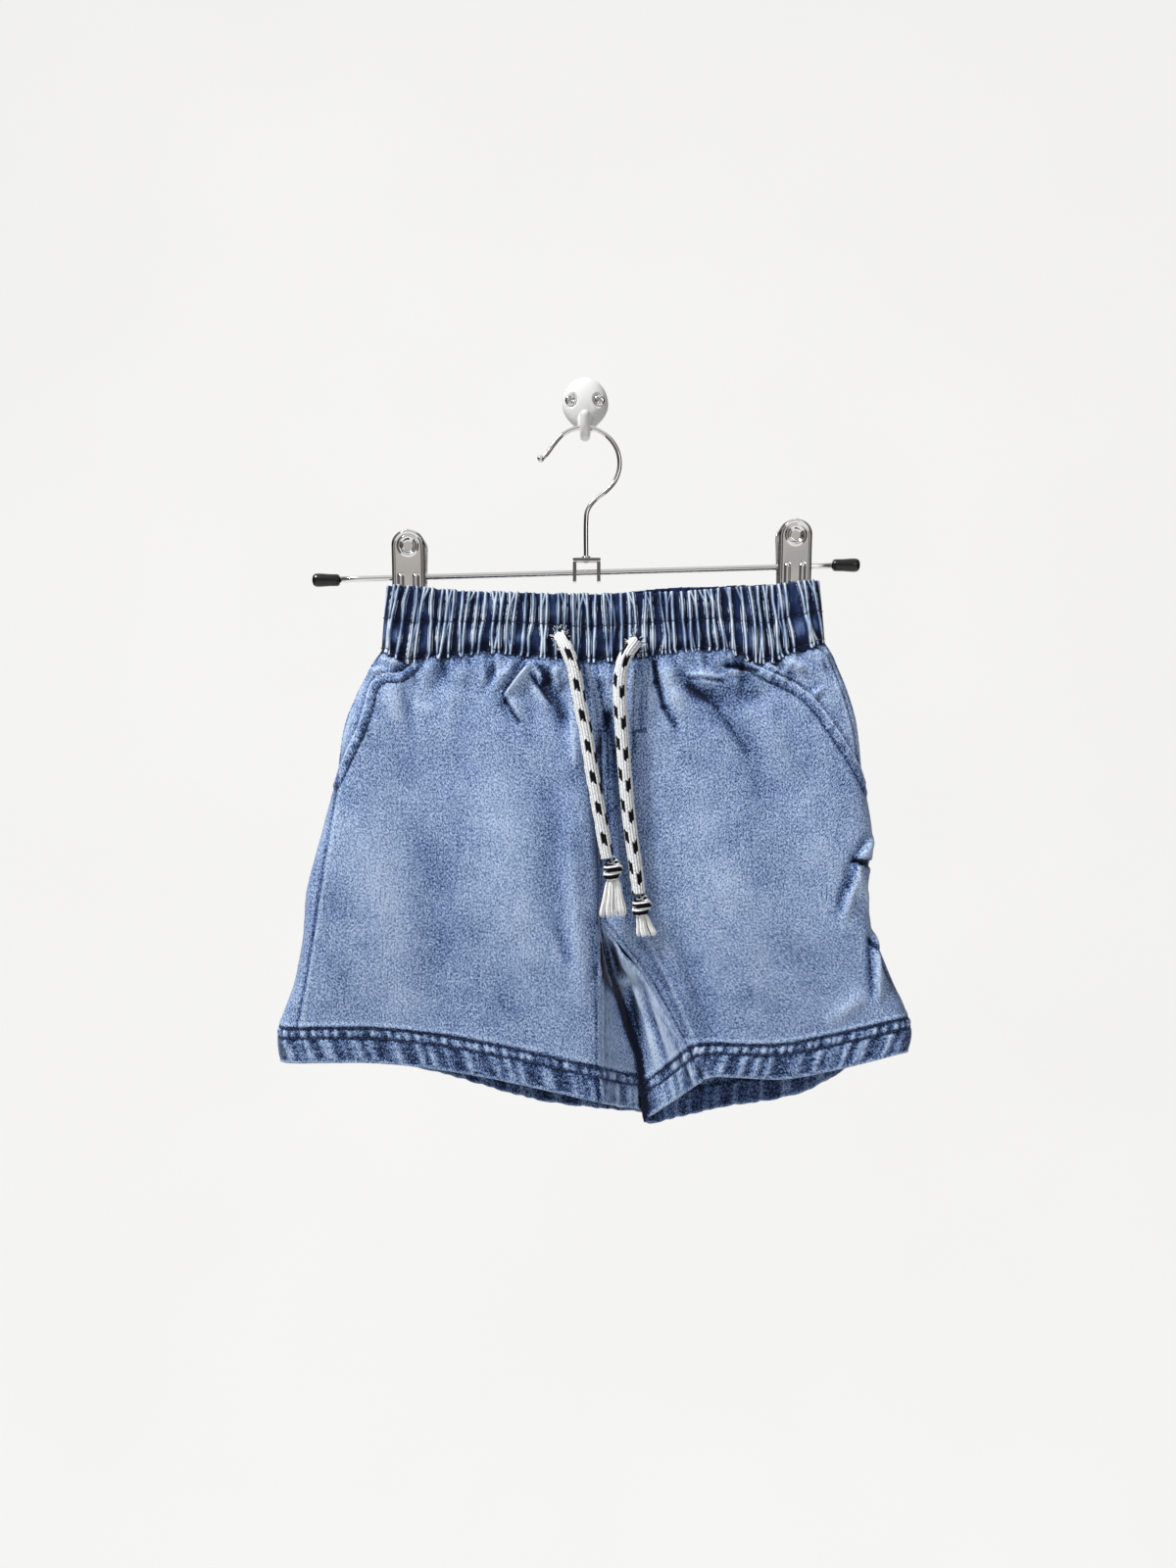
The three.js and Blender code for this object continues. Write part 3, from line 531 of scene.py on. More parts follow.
def edge_height(line, x):
    """The height of a band edge at x, with smooth steps between its points."""
    knots = np.array(line, float)
    k = np.clip(np.searchsorted(knots[:, 0], x) - 1, 0, len(knots) - 2)
    share = ease((x - knots[k, 0]) / (knots[k + 1, 0] - knots[k, 0]))
    return knots[k, 1] + (knots[k + 1, 1] - knots[k, 1]) * share


def mix(a, b, t):
    return a + (b - a) * t


def side_points(row, beyond_y):
    inward = -math.copysign(1, row["sideX"])
    corner = math.sqrt(0.5)
    shallow = (1 - corner) * SIDE_ROUND * inward
    x, z = row["sideX"], row["sideZ"]
    return [
        (x + shallow, mix(SIDE_Y, beyond_y, corner), z),
        (x, SIDE_Y, z),
        (x + shallow, mix(SIDE_Y, row["planeY"], corner), z),
        (x + SIDE_ROUND * inward, row["planeY"], z),
    ]


def wall_point(row, seam):
    middle = np.array([row["turnX"], row["turnY"], row["turnZ"]])
    return middle + (np.array(seam) - middle) * 0.55 + (row["bowX"], 0, row["bowZ"])


def front_section(leg, index):
    row, back = leg["front"][index], leg["back"][index]
    points = side_points(row, back["planeY"])
    start = points[3]
    for t, lift in ((0.3, row["liftOut"]), (0.6, row["liftIn"])):
        x, z = mix(start[0], row["foldX"], t), mix(row["sideZ"], row["foldZ"], t)
        points.append((x, row["planeY"], z + lift))
    seam = (row["seamX"], row["seamY"], row["seamZ"])
    if index < CROTCH:
        beyond = (2 * row["seamX"] - row["foldX"], row["foldY"], row["seamZ"])
    else:
        beyond = wall_point(back, seam)
    return [*points, (row["foldX"], row["foldY"], row["foldZ"]), seam, beyond]


def back_section(leg, index):
    row, front = leg["back"][index], leg["front"][index]
    points = side_points(row, front["planeY"])
    start = points[3]
    for t, lift in ((0.35, row["liftOut"]), (0.7, row["liftIn"])):
        x, z = mix(start[0], row["turnX"], t), mix(row["sideZ"], row["turnZ"], t)
        points.append((x, row["planeY"], z + lift))
    seam = (row["seamX"], row["seamY"], row["seamZ"])
    if index < CROTCH:
        beyond = (2 * row["seamX"] - row["turnX"], row["turnY"], row["seamZ"])
    else:
        beyond = (front["foldX"], front["foldY"], front["foldZ"])
    return [*points, (row["turnX"], row["turnY"], row["turnZ"]), wall_point(row, seam), seam, beyond]


def loft(sections, us, vs):
    """Points of a sheet through its sections, as rows (v, down) by columns (u, to the seam)."""
    split = CROTCH / (len(sections) - 1)
    points = sections.shape[1]
    down = np.empty((len(vs), points, 3))
    above = vs <= split
    down[above] = spline(sections[: CROTCH + 1], vs[above] / split)
    down[~above] = spline(sections[CROTCH:], (vs[~above] - split) / (1 - split))
    across = spline(down.transpose(1, 0, 2), (1 + us * (points - 3)) / (points - 1))
    return across.transpose(1, 0, 2)


def normals_of(grid, side):
    across, down = np.gradient(grid, axis=1), np.gradient(grid, axis=0)
    normal = np.cross(across, down) * side
    return normal / np.maximum(np.linalg.norm(normal, axis=-1, keepdims=True), 1e-9)


def panel_grid(side, face):
    leg = CUT[side]
    section = front_section if face == "front" else back_section
    sections = np.array([section(leg, k) for k in range(len(leg[face]))])
    dense = np.linspace(0, 1, 400)
    coarse = 1.0
    coarse *= 1.0 if face == "front" else 1.3
    us = evenly(loft(sections, dense, np.array([0.78]))[0], 1.05 * coarse)
    line = loft(sections, np.array([0.45]), dense)[:, 0]
    run = lengths(line)[-1]
    steps = [(0, 0.9), (55, 1.0), (70, 1.5), (run - 32, 1.5), (run - 27, 0.8), (run, 0.8)]
    vs = spaced(line, [(at, step * coarse) for at, step in steps])
    return loft(sections, us, vs)


# ---------- creases ----------
CREASE_COLUMNS = "x1 z1 x2 z2 width height lean"
# A crease runs from its first point to its second. Height is out of the cloth. Where lean isn't 0
# part of it is a step: raised on one side of the line and pressed in on the other.
FRONT_CREASES = table(CREASE_COLUMNS, [
    # the V-shaped fold and small tucks under the left half of the waistband
    (-33, -148, -45.5, -165, 2.0, 1.5, 0.9),
    (-45.5, -165, -36, -180, 2.2, 1.1, 0.9),
    (-40, -150, -47, -160, 4.0, 1.2),
    (-33, -152, -36, -166, 5.0, 1.3),
    (-30, -155, -18, -172, 2.0, 1.2, -0.9),
    (-21, -150, -19, -158, 1.6, -1.3),
    (-24.5, -149, -23, -157, 2.0, 1.3),
    (-16, -150, -15, -160, 2.4, 1.0),
    (-12, -158, -10, -190, 5.0, -1.6),
    (-7, -165, -4, -200, 4.0, 0.9),
    (-78, -147, -80, -158, 3.0, -0.8),
    (-70, -150, -66, -170, 6.0, 0.7),
    (-100, -160, -96, -185, 3.0, -0.9, 0.5),
    (-108, -158, -104, -178, 2.5, 0.7),
    # long soft folds down the left leg
    (-55, -200, -35, -300, 16.0, 1.3),
    (-20, -210, -12, -300, 8.0, -1.2),
    (-10, -235, -1, -330, 5.0, 1.3),
    (-17, -292, -10, -312, 2.5, -0.8, 0.6),
    (-120, -230, -105, -330, 18.0, 1.2),
    (-85, -250, -75, -345, 12.0, -0.9),
    # under the right half of the waistband
    (37.5, -146, 43.5, -172, 1.5, -1.7, 0.3),
    (43.5, -172, 50, -186, 2.0, -0.9, 0.4),
    (33, -148, 36, -175, 3.0, 0.9),
    (43, -150, 52, -172, 4.0, 1.1),
    (52, -150, 60, -166, 3.0, -0.9),
    (58, -163, 80, -170, 4.0, -1.2),
    (60, -152, 72, -160, 4.0, 0.9),
    (78, -150, 96, -151.5, 2.0, -1.1, 0.6),
    (82, -163, 100, -168, 4.5, -0.9),
    (96, -172, 108, -200, 6.0, 0.9),
    (84, -180, 100, -225, 9.0, -0.9),
    # the right leg
    (48, -290, 72, -355, 7.0, -1.6),
    (38, -285, 62, -345, 5.0, 0.8),
    (60, -230, 100, -330, 16.0, 1.1),
    (115, -225, 140, -262, 7.0, 0.9),
    # the crumple at the right side and the flare under it
    (156, -244, 147, -257, 2.0, 1.4, 0.6),
    (147, -256, 160, -259, 1.3, -2.6),
    (147, -257, 140, -285, 2.2, 1.3, 0.7),
    (148, -262, 153, -280, 3.0, 1.4),
    (157, -298, 158, -330, 1.8, 1.6, 0.8),
    (163, -305, 172, -328, 3.5, -1.2),
    (150, -330, 135, -342, 4.0, 0.8),
])

WALL_CREASES = table(CREASE_COLUMNS, [
    # the inner side of the right leg, seen from the front
    (18, -299, 23, -313, 2.2, 1.6, 0.4),
    (23, -313, 28, -322.5, 2.2, 1.6, 0.4),
    (28, -322.5, 21, -325, 2.0, 0.9, -0.3),
    (14, -305, 20, -318, 3.0, -1.6),
    (27, -326, 33, -342, 2.2, 1.6, 0.4),
    (33, -342, 40, -372, 2.4, 1.4, 0.4),
    (32, -328, 46, -372, 2.2, -1.3),
    (24, -330, 30, -360, 2.4, -1.2),
    (35, -322, 48, -365, 2.5, 1.0),
])

BACK_CREASES = table(CREASE_COLUMNS, [
    (-80, -150, -74, -185, 5.0, 1.3),
    (-52, -148, -56, -178, 4.0, -1.2, 0.3),
    (-30, -150, -24, -190, 5.0, 1.2),
    (-8, -150, -6, -175, 3.0, -1.1),
    (22, -150, 26, -182, 4.0, 1.2),
    (48, -148, 44, -176, 3.5, -1.2, 0.3),
    (78, -150, 84, -188, 5.0, 1.3),
    (108, -150, 112, -176, 4.0, -1.0),
    (-110, -220, -60, -245, 9.0, 1.2, 0.2),
    (-120, -262, -50, -290, 10.0, -1.2),
    (14, -270, -30, -300, 6.0, 1.3, 0.3),
    (16, -280, -20, -322, 5.0, -1.2),
    (15, -270, 60, -298, 6.0, 1.3, -0.3),
    (17, -282, 52, -322, 5.0, -1.2),
    (-130, -300, -110, -350, 9.0, 1.2),
    (-60, -310, -64, -365, 9.0, -1.1),
    (80, -230, 140, -262, 8.0, 1.1),
    (142, -256, 160, -260, 2.5, -1.8),
    (90, -300, 104, -370, 9.0, 1.1),
    (140, -300, 150, -345, 7.0, -1.1),
])


NARROW = 4.0  # creases up to this width are sharp folds, worn and with painted shade; wider ones shape the cloth and take a faint painted shading


def tucks(line, seed, count):
    """Small random creases that fan down from the waistband's edge."""
    rng = np.random.default_rng(seed)
    rows = []
    for _ in range(count):
        x = rng.uniform(-108, 128)
        z = float(edge_height(line, np.array([x]))[0]) - rng.uniform(0, 3)
        fan = 0.35 * x / 120 + rng.normal(0, 0.35)
        length = rng.uniform(6, 22)
        height = rng.choice([-1, 1]) * rng.uniform(0.3, 0.8)
        end = (x + length * math.sin(fan), z - length * math.cos(fan))
        rows.append((x, z, *end, rng.uniform(1.1, 2.4), height, rng.uniform(-0.6, 0.6)))
    return table(CREASE_COLUMNS, rows)


def crease_lift(x, z, creases):
    """Heights of the creases at (x, z) in millimetres: the sharp ones and the broad ones."""
    sharp, broad = np.zeros_like(x), np.zeros_like(x)
    for row in creases:
        dx, dz = row["x2"] - row["x1"], row["z2"] - row["z1"]
        length = math.hypot(dx, dz)
        dx, dz = dx / length, dz / length
        along = (x - row["x1"]) * dx + (z - row["z1"]) * dz
        aside = (z - row["z1"]) * dx - (x - row["x1"]) * dz
        past = np.maximum(np.maximum(-along, along - length), 0) / (1.2 * row["width"])
        share = np.clip(along / length, 0, 1)
        taper = np.exp(-(past**2)) * (0.35 + 0.65 * np.sin(np.pi * share) ** 0.7)
        reach = aside / row["width"]
        bump = (1 - abs(row["lean"])) * np.exp(-(reach**2))
        step = row["lean"] * reach * np.exp(0.5 - reach**2 / 2)
        narrow = row["width"] <= NARROW
        target = sharp if narrow else broad
        target += (2.2 if narrow else 2.0) * row["height"] * taper * (bump + step)
    return sharp, broad


# Marks on the front panels: a stitched or pressed line, or painted shade in a crevice and a painted highlight
# on a ridge, dark where depth is over 0.
MARK_COLUMNS = "x1 z1 x2 z2 width depth raise"
FRONT_MARKS = table(MARK_COLUMNS, [
    # the left side seam, which swings to the front near the hem
    (-134.5, -209, -140.5, -250, 0.8, 0.34, -0.4),
    (-140.5, -250, -147.5, -295, 0.8, 0.34, -0.4),
    (-147.5, -295, -156.6, -347, 0.8, 0.34, -0.4),
    (-131.8, -209, -138, -250, 1.2, -0.14, 0.5),
    (-138, -250, -145, -295, 1.2, -0.14, 0.5),
    (-145, -295, -154, -347, 1.2, -0.14, 0.5),
    # the mock fly's stitching and bar tack
    (31, -163, 30.5, -184, 0.7, 0.30, -0.3),
    (34, -158, 33.6, -173, 0.7, 0.24, -0.2),
    (27, -185, 33, -185, 0.9, 0.42, -0.3),
    (27, -186, 27, -197, 0.9, 0.34, -0.3),
    # the valley between the cords, darkened with painted shade
    (11.8, -176, 7.5, -196, 2.2, 0.30, -1.6),
    (12, -176, 16.5, -197, 2.2, 0.30, -1.6),
    (7.5, -196, 10, -256, 3.0, 0.20, -1.4),
    (16.5, -197, 14.5, -256, 2.6, 0.22, -1.4),
    # painted shade in the crevices at the tucks under the waistband
    (-33, -149, -44.5, -164, 1.0, 0.72, -1.2),
    (-45, -165, -43.5, -168.5, 1.0, 0.60, -1.0),
    (-43.5, -168.5, -36, -180, 1.1, 0.50, -1.0),
    (-30, -154, -18.5, -170, 0.9, 0.36, -0.8),
    (-24.5, -150, -20.5, -158, 1.6, 0.75, -1.4),
    (-20.5, -158, -24, -160, 1.0, 0.50, -0.8),
    (-21, -158, -12.5, -176, 3.0, 0.22, -0.4),
    (37.8, -147, 38.6, -158, 1.2, 0.52, -1.0),
    (38.6, -158, 43, -172, 1.3, 0.44, -1.0),
    (43, -172, 49.5, -182, 1.6, 0.24, -0.6),
    (58, -156, 76, -157.5, 0.9, 0.42, -0.8),
    (58, -160, 72, -172, 1.4, 0.26, -0.7),
    (72, -172, 88, -196, 1.6, 0.20, -0.7),
    (78, -149, 94, -152, 1.3, 0.60, -1.2),
    (146.5, -255.5, 158, -257.5, 1.1, 0.95, -1.8),
    (147, -258, 143, -270, 1.3, 0.40, -0.8),
    (155.6, -299, 163, -311, 1.0, 0.70, -1.2),
    # light ridges beside the tucks, partly worn and partly painted highlight
    (-31.5, -151, -42, -163, 0.9, -0.30, 0.8),
    (-43.5, -171, -38.5, -182, 0.9, -0.22, 0.6),
    (-27.5, -151, -24, -160, 1.0, -0.34, 0.9),
    (35.8, -148, 36.6, -158, 0.9, -0.22, 0.6),
    (40.4, -150, 45, -170, 0.9, -0.26, 0.7),
    (56, -153.5, 76, -155, 1.0, -0.24, 0.7),
    # the right leg's inner fold edge, and the left one's, lighter, with painted shade beside the right one
    (33.6, -297.6, 46.9, -323.2, 1.1, -0.20, 1.1),
    (46.9, -323.2, 58.1, -349.8, 1.1, -0.20, 1.1),
    (58.1, -349.8, 67.2, -373.8, 1.1, -0.20, 1.1),
    (30, -300, 43.5, -325, 2.2, 0.12, -0.7),
    (43.5, -325, 55, -351, 2.2, 0.12, -0.7),
    (6.2, -292, 6.4, -310, 0.9, -0.22, 0.8),
    (6.4, -310, 9.5, -320, 0.9, -0.22, 0.8),
    # light edges beside the centre front and the left cord, partly worn and partly painted highlight
    (-6, -160, -7.5, -181, 1.2, -0.16, 0.8),
    (-7.5, -181, -5.3, -203, 1.2, -0.16, 0.8),
    # soft shadows
    (-20, -160, -11, -178, 5.0, 0.12),
    (74, -161, 90, -165, 4.5, 0.16),
    (57, -160, 88, -193, 4.5, 0.10),
    (5.2, -290, 5.6, -318, 2.5, 0.22, -0.5),
    (35, -300, 62, -352, 5.0, 0.12, -0.4),
    # worn spots
    (-92, -170, -86, -172, 3.0, -0.20),
])
# The line, seen from the front, where the two legs part, along which a near-black shadow is painted.
LEG_GAP = [(8, -303), (9.5, -317), (15, -327), (19, -333), (22, -343), (26, -357), (30, -366), (32, -382),
           (33, -404)]


def seam_marks(x, z, fade, lift):
    """Adds the marks of the front panels to their colour, worn and painted with shade, and to their relief.
    """
    for row in FRONT_MARKS:
        dx, dz = row["x2"] - row["x1"], row["z2"] - row["z1"]
        share = np.clip(((x - row["x1"]) * dx + (z - row["z1"]) * dz) / (dx * dx + dz * dz), 0, 1)
        distance = np.hypot(x - row["x1"] - share * dx, z - row["z1"] - share * dz)
        near = bell(distance, row["width"])
        fade = fade - 1.3 * row["depth"] * near
        lift = lift + row["raise"] * near
    return fade, lift


def patches(x, z, size, seed):
    """Smooth noise from -1 to 1 with cells of a size."""
    rng = np.random.default_rng(seed)
    lattice = rng.uniform(-1, 1, (160, 160))
    i, j = x / size + 61.37, z / size + 103.71
    i0, j0 = np.floor(i).astype(int), np.floor(j).astype(int)
    u, v = ease(i - i0), ease(j - j0)
    i0, j0 = i0 % 159, j0 % 159
    low = mix(lattice[i0, j0], lattice[i0 + 1, j0], u)
    high = mix(lattice[i0, j0 + 1], lattice[i0 + 1, j0 + 1], u)
    return mix(low, high, v)


def waves(position, seed, spacing, jitter=0.35):
    """An uneven ripple: peaks about a spacing apart, each of its own strength."""
    rng = np.random.default_rng(seed)
    low, high = position.min() - spacing, position.max() + spacing
    peaks = np.arange(low, high, spacing)
    peaks = peaks + rng.normal(0, jitter * spacing, len(peaks))
    strength = rng.uniform(0.35, 1.0, len(peaks))
    ripple = np.zeros_like(position)
    for peak, power in zip(peaks, strength):
        ripple = np.maximum(ripple, power * bell(position - peak, 0.32 * spacing))
    return ripple


HEM_ROWS = (19.0, 13.6)  # heights of the two stitch rows above the hem's edge


def hem_relief(run, height):
    """Puckers across a hem: run is the distance along it and height that above its edge. The colour is
    lighter where worn and takes painted shade between the puckers.
    """
    skew = run + 0.25 * height
    rope = waves(skew, 5, 4.8, 0.2)
    streak = waves(skew, 6, 6.5, 0.5)
    between = bell(height - 16.3, 2.2)
    low = ease(height / 3) * (1 - ease((height - 12.0) / 1.5))
    rows = sum(bell(height - row, 0.8) for row in HEM_ROWS)
    inside = 1 - ease((height - 19.6) / 1.2)
    relief = 1.5 * (rope - 0.4) * between + 1.3 * (streak - 0.4) * low - 0.6 * rows
    relief += 0.45 * bell(height - 20.8, 1.0)
    speck = patches(skew, 3.0 * height, 3.2, 37)
    # Darker over the turned hem and along the stitch rows, lighter at the edge; the puckers are lighter on
    # their ridges and darker between them, partly worn and partly painted shade.
    fade = -0.36 * inside + 1.15 * (rope - 0.15) * between + 0.70 * (streak - 0.2) * low - 0.40 * rows
    fade += 0.20 * speck * inside + 0.60 * bell(height, 1.2)
    fade += 0.14 * bell(height - 21.6, 1.1)
    return relief, fade


# ---------- pocket mouths ----------
POCKET_MOUTH = {
    "left": [(-94, -146), (-101, -152.4), (-111, -153.6), (-117.6, -158.6), (-120, -168), (-124, -182),
             (-130, -195), (-138, -212)],
    "right": [(88, -146), (100, -151.8), (110, -156.5), (118.5, -161.5), (126, -168), (135.5, -181),
              (146, -197), (158, -217)],
}


def mouth_line(side, inside=0.0):
    """The mouth's edge, or a line a distance inside the panel from it."""
    line = smooth_line(POCKET_MOUTH[side], 200, 0.8)
    along = np.gradient(line, axis=0)
    along /= np.linalg.norm(along, axis=1, keepdims=True)
    return line - inside * OUTWARD[side] * np.stack([-along[:, 1], along[:, 0]], -1)


def within(polygon, x, z):
    """True where (x, z) is inside a polygon."""
    inside = np.zeros(x.shape, bool)
    for (x0, z0), (x1, z1) in zip(polygon, np.roll(polygon, -1, axis=0)):
        crosses = (z0 > z) != (z1 > z)
        with np.errstate(divide="ignore", invalid="ignore"):
            at = (x1 - x0) * (z - z0) / (z1 - z0) + x0
        inside ^= crosses & (x < at)
    return inside


def near_line(line, x, z):
    """The distance to a line of points and the index of the nearest one."""
    best = np.full(x.shape, 1e9)
    index = np.zeros(x.shape, int)
    for k, (px, pz) in enumerate(line):
        distance = np.hypot(x - px, z - pz)
        closer = distance < best
        best[closer] = distance[closer]
        index[closer] = k
    return best, index


def pocket_polygon(side, inside=0.0):
    outward = OUTWARD[side]
    line = mouth_line(side, inside)
    low = line[-1][1]
    return np.concatenate([line, [(outward * 220, low - 4), (outward * 220, -90), (line[0][0], -90)]])


# ---------- panels ----------
TUCK = 1.2  # how far a panel's top goes up behind the waistband's edge


def weave_uvs(grid):
    """Cloth coordinates in millimetres, measured along the rows and down the columns."""
    steps = np.linalg.norm(np.diff(grid, axis=1), axis=-1)
    across = np.concatenate([np.zeros((len(grid), 1)), np.cumsum(steps, axis=1)], 1)
    across = across - across[:, -1:]
    steps = np.linalg.norm(np.diff(grid, axis=0), axis=-1)
    down = np.concatenate([np.zeros((1, grid.shape[1])), np.cumsum(steps, axis=0)], 0)
    return np.stack([across, -down], -1)


def hang_from_band(grid, line):
    """Brings the top of a panel up to the waistband's lower edge."""
    top = grid[:1, :, 2]
    want = edge_height(line, grid[:1, :, 0]) + TUCK
    share = np.clip(1 - (top - grid[..., 2]) / 24, 0, 1) ** 1.5
    grid = grid.copy()
    grid[..., 2] += (want - top) * share
    return grid


def seat_shape(grid, side, face):
    """Adds the creases, gathers and hem puckers to a panel, and says how worn each point is and how much
    light or shade is painted on it.
    """
    facing = OUTWARD[side] if face == "front" else -OUTWARD[side]
    line = BAND_LINE["frontBottom" if face == "front" else "backBottom"]
    grid = hang_from_band(grid, line)
    normal = normals_of(grid, facing)
    x, z = grid[..., 0], grid[..., 2]
    uvs = weave_uvs(grid)
    height = np.abs(uvs[-1:, :, 1] - uvs[..., 1])
    fall = np.abs(uvs[..., 1])
    edge = np.minimum(1, np.minimum(-uvs[..., 0], uvs[..., 0] - uvs[:, :1, 0]) / 4 + 0.15)

    facing_front = np.clip(-normal[..., 1], 0, 1)
    if face == "front":
        sharp, broad = crease_lift(x, z, FRONT_CREASES + tucks(line, 51, 44))
    else:
        wall = ease((facing_front - 0.1) / 0.4)
        sharp, broad = crease_lift(x, z, BACK_CREASES + tucks(line, 52, 44))
        inner_sharp, inner_broad = crease_lift(x, z, WALL_CREASES)
        sharp, broad = mix(sharp, inner_sharp, wall), mix(broad, inner_broad, wall)
    gathers = waves(x + 0.12 * (z + 140) * np.sign(x), 11 if face == "front" else 12, 5.6) - 0.45
    sharp += 1.1 * gathers * bell(fall, 7.5) + 0.4 * gathers * bell(fall, 20)
    near_band = bell(fall, 34)
    sharp += (0.5 * patches(x, z, 9, 31) + 0.3 * patches(x, z, 4.5, 32)) * (0.35 + 1.3 * near_band)
    sharp *= edge
    lift = sharp + broad * edge + 0.9 * bell(fall - 9, 6)
    # Crease ridges lighter and valleys darker: partly worn, partly painted light and shade.
    fade = 0.56 + 0.13 * np.clip(sharp, 0, 2.5) + 0.19 * np.clip(sharp, -3, 0)
    # A painted shadow under the waistband's lower edge.
    fade -= 0.50 * bell(fall, 2.0) + 0.10 * bell(fall, 7.0)
    fade += 0.04 * patches(x, z, 14, 33) + 0.02 * patches(0.35 * x, z * 0.12, 1.6, 34)
    # Painted shading of the broad folds.
    fade += 0.055 * np.clip(broad, -2.5, 2.5)
    if face == "front":
        fade, lift = seam_marks(x, z, fade, lift)
    else:
        # The legs' inner walls are painted lighter, standing in for the light they would catch.
        fade += wall * (0.10 + 0.05 * np.clip(sharp, -3, 2.5) + 0.09 * patches(x, z, 6, 35))
        # A near-black painted shadow in the gap where the legs part.
        gap, _ = near_line(resample(np.array(LEG_GAP, float), 1.0), x, z)
        fade -= wall * (0.20 * bell(gap, 3.2) + 2.2 * bell(gap, 1.5))
        # Blotchy painted shade in the hollow at the crotch.
        hollow = np.exp(-(((x - 14.5) / 6.0) ** 2) - ((z + 313) / 9.0) ** 2)
        fade -= wall * hollow * (0.60 + 0.35 * patches(x, z, 3, 36))
        lift += (2.5 if side == "left" else 4.5) * np.exp(-(((x - 18.5) / 6) ** 2) - ((z + 315) / 12) ** 2)

    relief, hem_colour_and_shade = hem_relief(uvs[..., 0] - uvs[:, :1, 0], height)
    lift += relief
    fade += hem_colour_and_shade
    seam = np.minimum(-uvs[..., 0], uvs[..., 0] - uvs[:, :1, 0])
    fade += 0.10 * bell(seam - 1.2, 1.0) - 0.40 * bell(seam - 3.6, 0.7)
    lift += 0.35 * bell(seam - 1.6, 1.3) - 0.25 * bell(seam - 3.8, 0.7)
    shaped = grid + normal * lift[..., None]
    return shaped, facing, uvs, fade, height


class Panel:
    """A finished panel and the lines that stitches follow on it."""

    def __init__(self, side, face):
        grid = panel_grid(side, face)
        self.grid, self.facing, self.uvs, self.fade, self.height = seat_shape(grid, side, face)
        self.normal = normals_of(self.grid, self.facing)

    def hem_line(self, height):
        """Points and normals at a height above the hem's edge, along the panel."""
        points, normals = [], []
        for i in range(self.height.shape[1]):
            column = self.height[::-1, i]
            points.append(read_off(height, column, self.grid[::-1, i]))
            normals.append(read_off(height, column, self.normal[::-1, i]))
        return np.array(points), np.array(normals)


def cut_mouth(panel, side):
    """A front panel's grid and colour, worn and painted with shade, with its edge rolled along the pocket
    mouth, and what is kept.
    """
    x, z = panel.grid[..., 0], panel.grid[..., 2]
    keep = ~within(pocket_polygon(side), x, z)
    line = mouth_line(side)
    distance, index = near_line(line, x, z)
    snap = ~keep & (distance < SNAP)
    grid = panel.grid.copy()
    grid[snap, 0], grid[snap, 2] = line[index[snap], 0], line[index[snap], 1]
    roll = 0.7 * bell(distance - 2.4, 2.0) - 0.5 * bell(distance - 5.2, 0.8)
    puckers = waves(index.astype(float) * 0.8, 21, 4.2) - 0.4
    roll += 0.8 * puckers * bell(distance - 3.4, 2.4)
    grid += panel.normal * roll[..., None]
    fade = panel.fade + 0.34 * bell(distance, 1.1) - 0.42 * bell(distance - 5.2, 0.8)
    # The puckers by the mouth are lighter on their ridges and darker between: partly worn, partly painted
    # shade.
    fade += 0.5 * (puckers - 0.2) * bell(distance - 3.4, 1.7)
    return grid, fade, keep


def make_panels(material):
    panels = {}
    for side in ("left", "right"):
        for face in ("front", "back"):
            panel = Panel(side, face)
            panels[face, side] = panel
            grid, fade, keep = cut_mouth(panel, side) if face == "front" else (panel.grid, panel.fade, None)
            obj = grid_object(f"{face}_panel_{side}", grid, panel.facing, panel.uvs, {"fade": fade}, keep)
            thicken(obj, DENIM)
            finish_piece(obj, "denim", material, f"{face}_{side}")
    return panels


# Each facing's seam near the side, and the tucks beside it.
FACINGS = {
    "left": {
        "seam": [(-119, -146), (-124, -156), (-128.5, -168), (-134, -190)],
        "tucks": table(CREASE_COLUMNS, [
            (-112, -146, -100, -150, 2.0, 1.2, 0.4),
            (-118, -150, -108, -151, 2.0, 1.0, -0.4),
        ]),
    },
    "right": {
        "seam": [(124, -137), (133, -143), (139.5, -158), (146, -180), (149.5, -202)],
        "tucks": table(CREASE_COLUMNS, [
            (100, -147, 116, -158.5, 1.6, 1.8, -0.5),
            (104, -152, 120, -162, 1.5, -1.6),
            (131, -160, 121, -168, 1.6, 1.2, 0.4),
            (112, -146, 122, -152, 2.0, 1.0),
        ]),
    },
}


def make_facings(panels, material):
    """The pocket facings lie under the front panels and run out to the side seams."""
    for side, facing in FACINGS.items():
        panel = panels["front", side]
        grid = panel.grid - panel.normal * (DENIM + SEAM_GAP)
        x, z = grid[..., 0], grid[..., 2]
        keep = within(pocket_polygon(side, 10), x, z)
        shadow, _ = near_line(mouth_line(side), x, z)
        distance, _ = near_line(smooth_line(facing["seam"], 60, 0.8), x, z)
        folds = sum(crease_lift(x, z, facing["tucks"]))
        lift = 0.5 * bell(distance - 1.5, 1.2) - 0.6 * bell(distance, 0.6) + folds
        fade = panel.fade + 0.07 - 0.30 * bell(shadow, 2.4)
        # Painted light and shade on the tucks' folds.
        fade = fade + 0.10 * folds - 0.40 * bell(distance, 0.6) + 0.16 * bell(distance - 1.6, 1.0)
        grid = grid + panel.normal * lift[..., None]
        obj = grid_object(f"facing_{side}", grid, panel.facing, panel.uvs, {"fade": fade}, keep)
        thicken(obj, DENIM)
        finish_piece(obj, "denim", material, f"pocket_facing_{side}")


HEM_TURN = 20.5  # height of the inner layer above the hem's edge
HEM_REACH = 26.0  # the inner layer is cut from the panel's rows below this height


